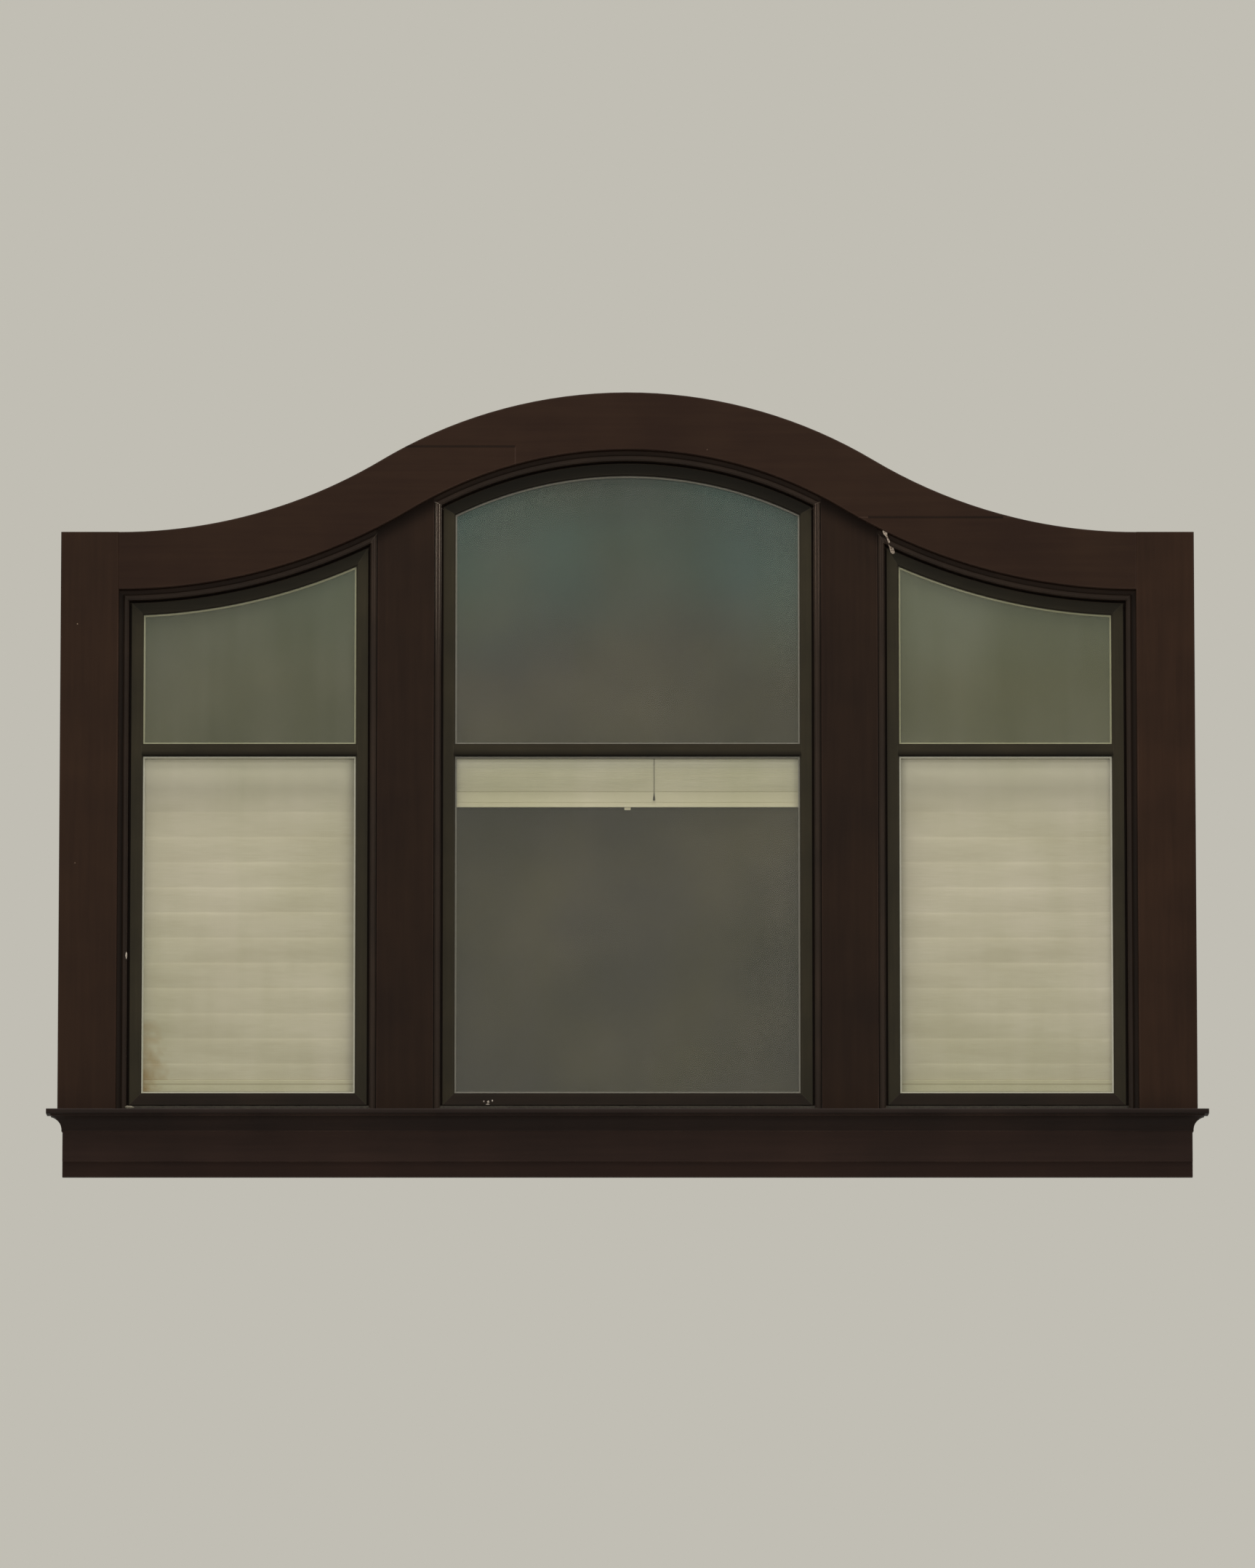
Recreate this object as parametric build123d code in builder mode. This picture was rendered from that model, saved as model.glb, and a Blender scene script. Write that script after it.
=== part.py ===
"""Arched window of three fixed lights under one ogee head board, with its timber casing.

Millimetres, +Z up. The outside face looks toward -Y, and Y = 0 is the wall face that the
casing boards lie on. Z = 0 is the foot of the apron, and X = 0 is the middle of the window.
"""
import os
from math import atan2, degrees, radians, sin, sqrt

from build123d import *

os.makedirs("parts", exist_ok=True)

# Boards below the lights, from the bottom up.
fillet_height = 57.0
apron_height = 115.0
bed_mould_height = 62.0
sill_thickness = 24.0
sill_slope = 6.0
sill_reveal = 9.0
sill_projection = 100.0
sill_horn = 40.0
apron_depth = 40.0
apron_end_inset = 20.0
fillet_setback = 7.0
mould_foot_projection = 4.0
mould_head_projection = 44.0
nose_radius = 7.0

# Glass as it is seen between the sash members.
centre_glass_width = 1308.0
side_glass_width = 807.0
glass_spacing = 377.0
lower_glass_height = 1285.0
bar_height = 48.0
centre_glass_height = 2363.0

# Head curve, drawn along the edge of the glass. Every other head line is this one moved outward.
crown_radius = 1494.0
head_rise = 538.0

# Sash members, one fixed sash in each light.
sash_width = 45.0
sash_setback = 4.0
sash_depth = 44.0
glazing_step = 6.0
glazing_step_depth = 6.0
groove_depth = 15.0
glass_setback = 10.0
glass_thickness = 25.3
glass_bite = 12.0
pane_thickness = 5.0
spacer_sight = 6.0

# Frame of each light.
sash_gap = 10.0
frame_width = 50.0
frame_depth = 130.0
stop_width = 15.0
stop_thickness = 22.0
bead_width = 22.0
bead_projection = 24.0
bead_chamfer = 6.0
screw_hole_radius = 3.25
screw_setback = 100.0
screw_heights = (450.0, 950.0, 1450.0, 1950.0)

# Casing boards on the wall face.
casing_width = 220.0
casing_depth = 45.0
casing_reveal = 17.0
casing_edge_chamfer = 3.0
mullion_reveal = 5.0
mullion_casing_depth = 18.0
board_joint = 0.3
left_joint_above_glass = 105.0
left_joint_from_middle = 427.0
right_joint_below_glass = 168.0

# Fabric shades on the room side.
shade_setback = 72.0
head_rail_depth = 46.0
head_rail_height = 42.0
head_rail_wall = 2.0
rail_height = 61.0
rail_depth = 14.0
rail_setback = 10.0
rail_groove_height = 17.0
rail_groove = 2.0
tab_width = 24.0
tab_height = 10.0
tab_thickness = 4.0
jamb_clearance = 8.0
fabric_thickness = 3.0
fold_pitch = 97.3
fold_bulge = 7.0
raised_fold_bulge = 3.5
side_shade_clearance = 51.0
raised_shade_length = 185.0
cord_length = 132.0
cord_radius = 1.0
cord_from_middle = 101.0
knob_length = 28.0
knob_radius = 4.5

# Smoked inner pane that closes each light on the room side of its shade.
room_pane_thickness = 4.0
room_pane_gap = 2.0
room_pane_clearance = 0.5

# Heights that follow from the sizes above.
apron_foot = fillet_height
mould_foot = apron_foot + apron_height
sill_foot = mould_foot + bed_mould_height
sill_top = sill_foot + sill_thickness
frame_inner = sash_width + sash_gap
frame_outer = frame_inner + frame_width
glass_foot = sill_top + sill_reveal + frame_inner
bar_bottom = glass_foot + lower_glass_height
bar_top = bar_bottom + bar_height
glass_head = glass_foot + centre_glass_height
sill_face = glass_foot - frame_inner

# Margins are distances outward from the edge of the glass.
casing_margin = frame_inner + bead_width + casing_reveal
mullion_margin = frame_inner + bead_width + mullion_reveal

# The ogee: a convex crown between two concave flanks that run out level at the casing.
half_span = centre_glass_width / 2 + glass_spacing + side_glass_width + casing_margin
casing_edge = half_span + casing_width
crown_z = glass_head - crown_radius
flank_foot = glass_head - head_rise
flank_radius = (half_span**2 + head_rise**2) / (2 * head_rise) - crown_radius
flank_z = flank_foot + flank_radius
lean = degrees(atan2(half_span, flank_z - crown_z))
reach = casing_edge + 300

# Left and right edges of the glass in each light.
inner_edge = centre_glass_width / 2
side_edge = inner_edge + glass_spacing
lights = {
    "left": (-side_edge - side_glass_width, -side_edge),
    "centre": (-inner_edge, inner_edge),
    "right": (side_edge, side_edge + side_glass_width),
}

# Depths behind the wall face.
sash_back = sash_setback + sash_depth
groove_front = sash_setback + glass_setback
groove_back = groove_front + glass_thickness + 0.3
fabric_front = shade_setback + rail_setback + rail_depth / 2
room_pane_front = shade_setback + head_rail_depth + room_pane_gap


def layer(depth):
    """Drawing plane parallel to the window face, seen from outside, at a depth behind the wall face."""
    return Plane.XZ.offset(-depth)


def slab(region, front, back, mode=Mode.ADD):
    """Solid of one flat outline between two depths."""
    with BuildSketch(layer(back)) as face:
        add(region)
    extrude(face.sketch, amount=back - front, mode=mode)


def block(x_low, x_high, front, back, z_low, z_high, mode=Mode.ADD):
    """Rectangular solid between the given limits."""
    with BuildSketch(layer(back)) as face:
        with Locations(((x_low + x_high) / 2, (z_low + z_high) / 2)):
            Rectangle(x_high - x_low, z_high - z_low)
    extrude(face.sketch, amount=back - front, mode=mode)


def long_edges_at(depth, shortest):
    """Edges on one depth plane that are longer than the given length."""
    found = edges().filter_by_position(Axis.Y, depth - 0.1, depth + 0.1)
    return ShapeList(edge for edge in found if edge.length > shortest)


def ogee_region(margin):
    """Everything below the head curve when the curve is moved outward by a margin."""
    flank = flank_radius - margin
    foot = flank_foot + margin
    with BuildSketch() as region:
        with BuildLine():
            CenterArc((half_span, flank_z), flank, 270 - lean, lean)
            CenterArc((0, crown_z), crown_radius + margin, 90 - lean, 2 * lean)
            CenterArc((-half_span, flank_z), flank, 270, lean)
            Polyline(
                (-half_span, foot),
                (-reach, foot),
                (-reach, -300),
                (reach, -300),
                (reach, foot),
                (half_span, foot),
            )
        make_face()
    return region.sketch


def ogee_height(x, margin):
    """Height of the moved head curve above a point on the X axis."""
    across = abs(x)
    crown = crown_radius + margin
    flank = flank_radius - margin
    if across >= half_span:
        return flank_foot + margin
    if across <= crown * sin(radians(lean)):
        return crown_z + sqrt(crown**2 - across**2)
    return flank_z - sqrt(flank**2 - (half_span - across) ** 2)


def light_region(light, margin):
    """Area of one light, from the edge of its glass moved outward by a margin."""
    left, right = lights[light]
    low = glass_foot - margin
    high = glass_head + margin + 10
    with BuildSketch() as region:
        add(ogee_region(margin))
        with Locations(((left + right) / 2, (low + high) / 2)):
            Rectangle(right - left + 2 * margin, high - low, mode=Mode.INTERSECT)
    return region.sketch


def corner(light, side, end, distance):
    """Point on the mitre line of a corner, the given distance out from the edge of the glass."""
    edge = lights[light][0 if side == "left" else 1]
    way = -1 if side == "left" else 1
    start_z = glass_foot
    end_z = glass_foot - frame_outer
    if end == "top":
        start_z = ogee_height(edge, 0)
        end_z = ogee_height(edge + way * frame_outer, frame_outer)
    share = distance / frame_outer
    return (edge + way * distance, start_z + (end_z - start_z) * share)


def wedge(light, place, inset=80, far=400):
    """Outline that cuts one member out of a ring, with mitre lines at both of its ends."""
    if place in ("left", "right"):
        return [
            corner(light, place, "top", -inset),
            corner(light, place, "top", far),
            corner(light, place, "bottom", far),
            corner(light, place, "bottom", -inset),
        ]
    end = "top" if place == "head" else "bottom"
    outer_left = corner(light, "left", end, far)
    outer_right = corner(light, "right", end, far)
    limit = glass_head + 500 if place == "head" else glass_foot - 500
    return [
        corner(light, "left", end, -inset),
        outer_left,
        (outer_left[0], limit),
        (outer_right[0], limit),
        outer_right,
        corner(light, "right", end, -inset),
    ]


def member_region(light, place, inner, outer):
    """Face of one mitred member between two margins."""
    with BuildSketch() as region:
        add(light_region(light, outer))
        add(light_region(light, inner), mode=Mode.SUBTRACT)
        with BuildLine():
            Polyline(*wedge(light, place), close=True)
        make_face(mode=Mode.INTERSECT)
    return region.sketch


def finish(built, node):
    """Label one piece and write its file."""
    built.part.label = node
    export_step(built.part, f"parts/{node}.step")


def jamb_casing(node, side):
    """Upright casing board on one side, standing on the sill board."""
    low, high = sorted((side * half_span, side * casing_edge))
    top = flank_foot + casing_margin + casing_width
    with BuildPart() as board:
        block(low, high, -casing_depth, 0, sill_top, top)
        chamfer(long_edges_at(-casing_depth, casing_width * 2), casing_edge_chamfer)
    finish(board, node)


def head_casing():
    """The whole curved head, wide as the casing, with its long front edges eased."""
    with BuildSketch() as band:
        add(ogee_region(casing_margin + casing_width))
        add(ogee_region(casing_margin), mode=Mode.SUBTRACT)
        with Locations((0, glass_head)):
            Rectangle(2 * half_span, 2 * glass_head, mode=Mode.INTERSECT)
    slab(band.sketch, -casing_depth, 0)
    chamfer(long_edges_at(-casing_depth, casing_width * 2), casing_edge_chamfer)


def below_joint(side, mode):
    """Cut the head along the joints of the board on one side."""
    if side < 0:
        inner = -left_joint_from_middle
        joint_z = glass_head + left_joint_above_glass
    else:
        inner = 0
        joint_z = glass_head - right_joint_below_glass
    low, high = sorted((inner, side * (half_span + 1)))
    block(low, high, -casing_depth - 1, 1, 0, joint_z, mode=mode)


def head_board(node, side):
    """One of the three boards of the head: the crown in the middle or one flank."""
    with BuildPart() as board:
        head_casing()
        if side == 0:
            below_joint(-1, Mode.SUBTRACT)
            below_joint(1, Mode.SUBTRACT)
        else:
            below_joint(side, Mode.INTERSECT)
    finish(board, node)


def mullion_casing(node, side):
    """Thin upright board between two lights, scribed to the underside of the head."""
    low, high = sorted((side * (inner_edge + mullion_margin), side * (side_edge - mullion_margin)))
    with BuildPart() as board:
        block(low, high, -mullion_casing_depth, 0, sill_top, glass_head)
        slab(ogee_region(casing_margin - board_joint), -mullion_casing_depth - 1, 1, Mode.INTERSECT)
    finish(board, node)


def mullion_post(node, side):
    """Upright post between the frames of two lights."""
    low, high = sorted((side * (inner_edge + frame_outer), side * (side_edge - frame_outer)))
    with BuildPart() as post:
        block(low, high, 0, frame_depth, glass_foot - frame_outer, glass_head + frame_outer)
        slab(ogee_region(frame_outer), -1, frame_depth + 1, Mode.INTERSECT)
    finish(post, node)


def sill_board():
    """Sill board with horns past the casing, a sloping front and a rounded nose."""
    half_length = casing_edge + sill_horn
    nose_top = sill_top - sill_slope
    with BuildPart() as board:
        with BuildSketch(Plane.YZ.offset(-half_length)):
            with BuildLine():
                Polyline(
                    (0, sill_foot),
                    (-sill_projection, sill_foot),
                    (-sill_projection, nose_top),
                    (-casing_depth - 3, sill_top),
                    (0, sill_top),
                    close=True,
                )
            make_face()
        extrude(amount=2 * half_length)
        nose = edges().filter_by(Axis.X).filter_by_position(Axis.Y, -sill_projection - 1, -sill_projection + 1)
        fillet(nose, nose_radius)
    finish(board, "sill_board")


def bed_mould():
    """Cove moulding under the sill board, returned at both ends."""
    half_length = casing_edge - apron_end_inset
    foot = mould_foot
    head = sill_foot
    inner = mould_foot_projection
    outer = mould_head_projection
    step = bed_mould_height * 0.1
    middle = (inner + (outer - inner) * 0.3, foot + bed_mould_height * 0.62)
    with BuildPart() as mould:
        with BuildSketch(Plane.YZ.offset(-half_length - outer - 10)):
            with BuildLine():
                Polyline(
                    (-apron_depth - outer + 4, head - step),
                    (-apron_depth - outer, head - step),
                    (-apron_depth - outer, head),
                    (0, head),
                    (0, foot),
                    (-apron_depth - inner, foot),
                    (-apron_depth - inner, foot + step),
                )
                ThreePointArc(
                    (-apron_depth - inner, foot + step),
                    (-apron_depth - middle[0], middle[1]),
                    (-apron_depth - outer + 4, head - step),
                )
            make_face()
        extrude(amount=2 * (half_length + outer + 10))
        with BuildSketch(layer(1)):
            with BuildLine():
                Polyline(
                    (half_length + outer - 4, head - step),
                    (half_length + outer, head - step),
                    (half_length + outer, head),
                    (-half_length - outer, head),
                    (-half_length - outer, head - step),
                    (-half_length - outer + 4, head - step),
                )
                ThreePointArc(
                    (-half_length - outer + 4, head - step),
                    (-half_length - middle[0], middle[1]),
                    (-half_length - inner, foot + step),
                )
                Polyline(
                    (-half_length - inner, foot + step),
                    (-half_length - inner, foot),
                    (half_length + inner, foot),
                    (half_length + inner, foot + step),
                )
                ThreePointArc(
                    (half_length + inner, foot + step),
                    (half_length + middle[0], middle[1]),
                    (half_length + outer - 4, head - step),
                )
            make_face()
        extrude(amount=sill_projection + apron_depth, mode=Mode.INTERSECT)
    finish(mould, "bed_mould")


def apron_boards():
    """Flat apron below the moulding and the lower band set back under it."""
    half_length = casing_edge - apron_end_inset
    with BuildPart() as board:
        block(-half_length, half_length, -apron_depth, 0, apron_foot, mould_foot)
        fillet(long_edges_at(-apron_depth, half_length).sort_by(Axis.Z)[:1], 2)
    finish(board, "apron_board")
    with BuildPart() as band:
        block(-half_length, half_length, fillet_setback - apron_depth, 0, 0, apron_foot)
        fillet(long_edges_at(fillet_setback - apron_depth, half_length).sort_by(Axis.Z)[:1], 2)
    finish(band, "apron_fillet")


def frame_member(node, light, place):
    """Frame member with its sash stop and its chamfered nosing bead."""
    stop_front = sash_back
    bead_outer = frame_inner + bead_width
    with BuildPart() as member:
        slab(member_region(light, place, frame_inner, frame_outer), 0, frame_depth)
        stop = member_region(light, place, frame_inner - stop_width, frame_inner)
        slab(stop, stop_front, stop_front + stop_thickness)
        slab(member_region(light, place, frame_inner, bead_outer), -bead_projection, 0)
        block(-reach, reach, -bead_projection - 1, 0, 0, sill_top, mode=Mode.SUBTRACT)
        front = long_edges_at(-bead_projection, bead_width * 4)
        chamfer(ShapeList(edge for edge in front if edge.center().Z > sill_top + 1), bead_chamfer)
        if place == light:
            screw_holes(light)
    finish(member, node)


def screw_holes(light):
    """Level holes through an outer jamb for the screws into the wall opening."""
    left, right = lights[light]
    start = left - frame_outer if light == "left" else right + frame_inner
    with BuildSketch(Plane.YZ.offset(start - 1)) as holes:
        with Locations(*((screw_setback, height) for height in screw_heights)):
            Circle(screw_hole_radius)
    extrude(holes.sketch, amount=frame_width + 2, mode=Mode.SUBTRACT)


def sash_member(node, light, place):
    """Sash member with a stepped glazing edge and a groove for the glass."""
    step_back = sash_setback + glazing_step_depth
    with BuildPart() as member:
        slab(member_region(light, place, 0, sash_width), sash_setback, sash_back)
        slab(member_region(light, place, 0, glazing_step), sash_setback, step_back, Mode.SUBTRACT)
        slab(member_region(light, place, 0, groove_depth), groove_front, groove_back, Mode.SUBTRACT)
    finish(member, node)


def sash_bar(node, light):
    """Level bar across one sash, grooved above and below for the two glass units."""
    left, right = lights[light]
    step_back = sash_setback + glazing_step_depth
    with BuildPart() as bar:
        block(left, right, sash_setback, sash_back, bar_bottom, bar_top)
        for low, high in ((bar_bottom, bar_bottom + glazing_step), (bar_top - glazing_step, bar_top)):
            block(left, right, sash_setback, step_back, low, high, mode=Mode.SUBTRACT)
        for low, high in ((bar_bottom, bar_bottom + groove_depth), (bar_top - groove_depth, bar_top)):
            block(left, right, groove_front, groove_back, low, high, mode=Mode.SUBTRACT)
        face_low = bar_bottom + glazing_step
        face_high = bar_top - glazing_step
        block(left - glazing_step, right + glazing_step, sash_setback, step_back, face_low, face_high)
        tenon_low = bar_bottom + groove_depth
        tenon_high = bar_top - groove_depth
        block(left - groove_depth, right + groove_depth, groove_front, groove_back, tenon_low, tenon_high)
    finish(bar, node)


def pane_region(light, margin, low, high):
    """Outline of a glass unit between two heights."""
    left, right = lights[light]
    with BuildSketch() as region:
        add(light_region(light, margin))
        with Locations(((left + right) / 2, (low + high) / 2)):
            Rectangle(right - left + 200, high - low, mode=Mode.INTERSECT)
    return region.sketch


def glass_unit(node, light, upper):
    """Sealed unit: two panes with a spacer round the edge, seated against the front of its groove."""
    low = bar_top if upper else glass_foot
    high = glass_head + 100 if upper else bar_bottom
    bite = glass_bite
    sight = spacer_sight
    front = groove_front
    back = groove_front + glass_thickness
    with BuildPart() as unit:
        slab(pane_region(light, bite, low - bite, high + bite), front, back)
        cavity = pane_region(light, -sight, low + sight, high - sight)
        slab(cavity, front + pane_thickness, back - pane_thickness, Mode.SUBTRACT)
    finish(unit, node)


def room_pane(node, light):
    """Inner pane standing on the frame sill, a little clear of the jambs and the curved head."""
    left, right = lights[light]
    margin = frame_inner - room_pane_clearance
    high = glass_head + frame_outer
    with BuildSketch() as region:
        add(ogee_region(margin))
        with Locations(((left + right) / 2, (sill_face + high) / 2)):
            Rectangle(right - left + 2 * margin, high - sill_face, mode=Mode.INTERSECT)
    with BuildPart() as pane:
        slab(region.sketch, room_pane_front, room_pane_front + room_pane_thickness)
    finish(pane, node)


def shade_head_rail(node, light):
    """Rectangular tube across the head of the shade, from jamb to jamb."""
    left, right = lights[light]
    start = left - frame_inner
    with BuildPart() as rail:
        with BuildSketch(Plane.YZ.offset(start)):
            with Locations((shade_setback + head_rail_depth / 2, bar_bottom + head_rail_height / 2)):
                Rectangle(head_rail_depth, head_rail_height)
                Rectangle(
                    head_rail_depth - 2 * head_rail_wall,
                    head_rail_height - 2 * head_rail_wall,
                    mode=Mode.SUBTRACT,
                )
        extrude(amount=right - left + 2 * frame_inner)
    finish(rail, node)


def shade_fabric(node, light, foot, pitch, bulge):
    """Fabric hanging in soft folds from the head rail to the top of the bottom rail."""
    left, right = lights[light]
    start = left - frame_inner + jamb_clearance
    seams = [bar_bottom]
    while seams[-1] - pitch > foot + pitch * 0.2:
        seams.append(seams[-1] - pitch)
    seams.append(foot)
    back = fabric_front + fabric_thickness
    with BuildPart() as fabric:
        with BuildSketch(Plane.YZ.offset(start)):
            with BuildLine():
                for top, low in zip(seams, seams[1:]):
                    belly = bulge * (top - low) / pitch
                    middle = (top + low) / 2
                    ThreePointArc((fabric_front, top), (fabric_front - belly, middle), (fabric_front, low))
                    ThreePointArc((back, top), (back - belly, middle), (back, low))
                Line((fabric_front, seams[0]), (back, seams[0]))
                Line((fabric_front, foot), (back, foot))
            make_face()
        extrude(amount=right - left + 2 * (frame_inner - jamb_clearance))
    finish(fabric, node)


def shade_bottom_rail(node, light, foot):
    """Bottom rail with a groove line along its front and a small finger tab below."""
    left, right = lights[light]
    start = left - frame_inner + jamb_clearance
    end = right + frame_inner - jamb_clearance
    middle = (left + right) / 2
    front = shade_setback + rail_setback
    back = front + rail_depth
    groove = foot + rail_groove_height
    with BuildPart() as rail:
        block(start, end, front, back, foot, foot + rail_height)
        fillet(edges().filter_by(Axis.X), 2)
        block(start, end, front, front + rail_groove, groove, groove + rail_groove, mode=Mode.SUBTRACT)
        block(
            middle - tab_width / 2,
            middle + tab_width / 2,
            front + rail_depth / 2 - tab_thickness / 2,
            front + rail_depth / 2 + tab_thickness / 2,
            foot - tab_height,
            foot + 1,
        )
    finish(rail, node)


def pull_cord():
    """Cord that hangs from the head rail in front of the raised shade, and its knob."""
    depth = shade_setback + knob_radius + 0.5
    foot = bar_bottom - cord_length
    with BuildPart() as cord:
        with BuildSketch(Plane.XY.offset(foot)):
            with Locations((cord_from_middle, depth)):
                Circle(cord_radius)
        extrude(amount=cord_length)
    finish(cord, "centre_shade_cord")
    with BuildPart() as knob:
        with BuildSketch(Plane.XY.offset(foot - knob_length)):
            with Locations((cord_from_middle, depth)):
                Circle(knob_radius)
        extrude(amount=knob_length)
        chamfer(edges().filter_by(GeomType.CIRCLE), knob_radius * 0.4)
    finish(knob, "centre_cord_knob")


jamb_casing("left_jamb_casing", -1)
jamb_casing("right_jamb_casing", 1)
head_board("head_left_board", -1)
head_board("head_crown_board", 0)
head_board("head_right_board", 1)
mullion_casing("left_mullion_casing", -1)
mullion_casing("right_mullion_casing", 1)
mullion_post("left_mullion_post", -1)
mullion_post("right_mullion_post", 1)
sill_board()
bed_mould()
apron_boards()

for name in lights:
    frame_member(f"{name}_frame_left_jamb", name, "left")
    frame_member(f"{name}_frame_right_jamb", name, "right")
    frame_member(f"{name}_frame_head", name, "head")
    frame_member(f"{name}_frame_sill", name, "sill")
    sash_member(f"{name}_sash_left_stile", name, "left")
    sash_member(f"{name}_sash_right_stile", name, "right")
    sash_member(f"{name}_sash_top_rail", name, "head")
    sash_member(f"{name}_sash_bottom_rail", name, "sill")
    sash_bar(f"{name}_sash_bar", name)
    glass_unit(f"{name}_upper_glass", name, True)
    glass_unit(f"{name}_lower_glass", name, False)
    shade_head_rail(f"{name}_shade_head_rail", name)
    room_pane(f"{name}_room_pane", name)

full_shade_foot = sill_face + side_shade_clearance
full_fabric_length = bar_bottom - full_shade_foot - rail_height
raised_shade_foot = bar_bottom - raised_shade_length
raised_pitch = fold_pitch * (raised_shade_length - rail_height) / full_fabric_length

for name in ("left", "right"):
    shade_fabric(f"{name}_shade_fabric", name, full_shade_foot + rail_height, fold_pitch, fold_bulge)
    shade_bottom_rail(f"{name}_shade_bottom_rail", name, full_shade_foot)
shade_fabric("centre_shade_fabric", "centre", raised_shade_foot + rail_height, raised_pitch, raised_fold_bulge)
shade_bottom_rail("centre_shade_bottom_rail", "centre", raised_shade_foot)
pull_cord()
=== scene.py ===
"""Dresses the three-light arched window: painted casing, sashes, sealed glass units and soft shades.

Every length is in metres. X runs along the window, Y into its depth and Z up from the apron's foot.
"""

import logging
import math
from dataclasses import dataclass, field, replace
from enum import Enum
from typing import Any, Mapping, Sequence

import bpy
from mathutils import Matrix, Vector, noise


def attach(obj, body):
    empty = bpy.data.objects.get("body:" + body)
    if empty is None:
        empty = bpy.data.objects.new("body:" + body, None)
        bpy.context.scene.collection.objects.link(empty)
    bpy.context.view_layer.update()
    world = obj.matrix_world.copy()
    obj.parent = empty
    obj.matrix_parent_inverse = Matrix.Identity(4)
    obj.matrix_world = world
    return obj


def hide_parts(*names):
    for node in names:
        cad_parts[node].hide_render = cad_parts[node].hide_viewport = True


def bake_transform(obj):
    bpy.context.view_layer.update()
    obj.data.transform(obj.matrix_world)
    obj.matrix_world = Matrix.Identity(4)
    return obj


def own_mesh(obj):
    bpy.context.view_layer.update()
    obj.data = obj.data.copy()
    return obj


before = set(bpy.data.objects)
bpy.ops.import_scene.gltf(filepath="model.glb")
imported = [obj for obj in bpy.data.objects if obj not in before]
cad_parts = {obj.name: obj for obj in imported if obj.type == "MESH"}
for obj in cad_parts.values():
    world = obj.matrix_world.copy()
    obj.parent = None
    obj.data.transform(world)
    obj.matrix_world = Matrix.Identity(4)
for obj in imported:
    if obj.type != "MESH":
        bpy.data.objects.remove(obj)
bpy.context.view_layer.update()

log = logging.getLogger("arched_window")

MM = 0.001

Point = tuple[float, float, float]
Outline = list[tuple[float, float]]
Mesh = tuple[list[Point], list[list[int]]]
Tree = bpy.types.NodeTree
Socket = bpy.types.NodeSocket
Coat = tuple[Socket, str]

# Small tools

# Sockets of the Mix node when it mixes colours, which share their names with those for numbers.
FACTOR, UNDER, OVER, MIXED = 0, 6, 7, 2


def linear(code: str) -> tuple[float, float, float, float]:
    """Turn an sRGB hex colour into Blender's linear colour.

    Args:
        code: Colour as "#rrggbb".

    Returns:
        Linear red, green, blue and an alpha of one.
    """
    channels = [int(code[i : i + 2], 16) / 255 for i in (1, 3, 5)]
    red, green, blue = (c / 12.92 if c <= 0.04045 else ((c + 0.055) / 1.055) ** 2.4 for c in channels)
    return red, green, blue, 1.0


def add_node(
    tree: Tree, kind: str, inputs: Mapping[str | int, Any], output: str | int = 0, **settings: Any
) -> Socket | None:
    """Add one shader node with its settings, its plain inputs and its links.

    Args:
        tree: Node tree that gets the node.
        kind: Node type, without the "ShaderNode" in front.
        inputs: What each input gets: another node's output to link, a hex colour or a plain value.
        output: Which of the node's outputs is wanted.
        settings: Properties of the node itself.

    Returns:
        That output, or None where the node has none.
    """
    node = tree.nodes.new("ShaderNode" + kind)
    for name, value in settings.items():
        setattr(node, name, value)
    for name, value in inputs.items():
        if isinstance(value, Socket):
            tree.links.new(value, node.inputs[name])
        else:
            node.inputs[name].default_value = linear(value) if isinstance(value, str) else value
    return node.outputs[output] if node.outputs else None


def new_material(name: str, attribute: str = "") -> tuple[bpy.types.Material, Tree, Socket]:
    """Start a material whose node tree holds only the place of the shaded point.

    Args:
        name: Name of the real material.
        attribute: Attribute that holds the place, or nothing for the place in space.

    Returns:
        The material, its node tree and that place.
    """
    material = bpy.data.materials.new(name)
    material.use_nodes = True
    tree = material.node_tree
    tree.nodes.clear()
    if attribute:
        return material, tree, add_node(tree, "Attribute", {}, "Vector", attribute_name=attribute)
    return material, tree, add_node(tree, "TexCoord", {}, "Object")


def lay_coats(tree: Tree, ground: str, coats: Sequence[Coat]) -> Socket | str:
    """Lay coats of colour over one another.

    Args:
        tree: Node tree of the material.
        ground: Colour underneath.
        coats: Each coat's share at every place and its colour, from the lowest one up.

    Returns:
        The colour that shows.
    """
    shown: Socket | str = ground
    for share, colour in coats:
        shown = add_node(
            tree, "Mix", {FACTOR: share, UNDER: shown, OVER: colour}, MIXED, data_type="RGBA"
        )
    return shown


def turns(count: int) -> list[float]:
    """Angles of as many equal turns round a circle."""
    return [2 * math.pi * k / count for k in range(count)]


def lofted(rings: Sequence[Sequence[Point]], looped: bool = False) -> Mesh:
    """Join rings of points into one closed form.

    Args:
        rings: Rings of equally many points, or one point alone for a tip. They turn anticlockwise
            as seen from beyond the last ring.
        looped: Whether the last ring joins the first. Otherwise a face closes each end.

    Returns:
        Vertices and faces.
    """
    starts = [sum(len(ring) for ring in rings[:i]) for i in range(len(rings))]
    order = list(range(len(rings)))
    faces: list[list[int]] = []
    for near, far in zip(order, order[1:] + order[:1] if looped else order[1:]):
        sides = max(len(rings[near]), len(rings[far]))
        for k in range(sides):
            corners = ((near, k), (near, (k + 1) % sides), (far, (k + 1) % sides), (far, k))
            face = [starts[ring] + turn % len(rings[ring]) for ring, turn in corners]
            faces.append(list(dict.fromkeys(face)))
    if not looped:
        first, last = ([starts[end] + k for k in range(len(rings[end]))] for end in (0, -1))
        faces += [face for face in (first[::-1], last) if len(face) > 1]
    return [point for ring in rings for point in ring], faces


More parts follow.
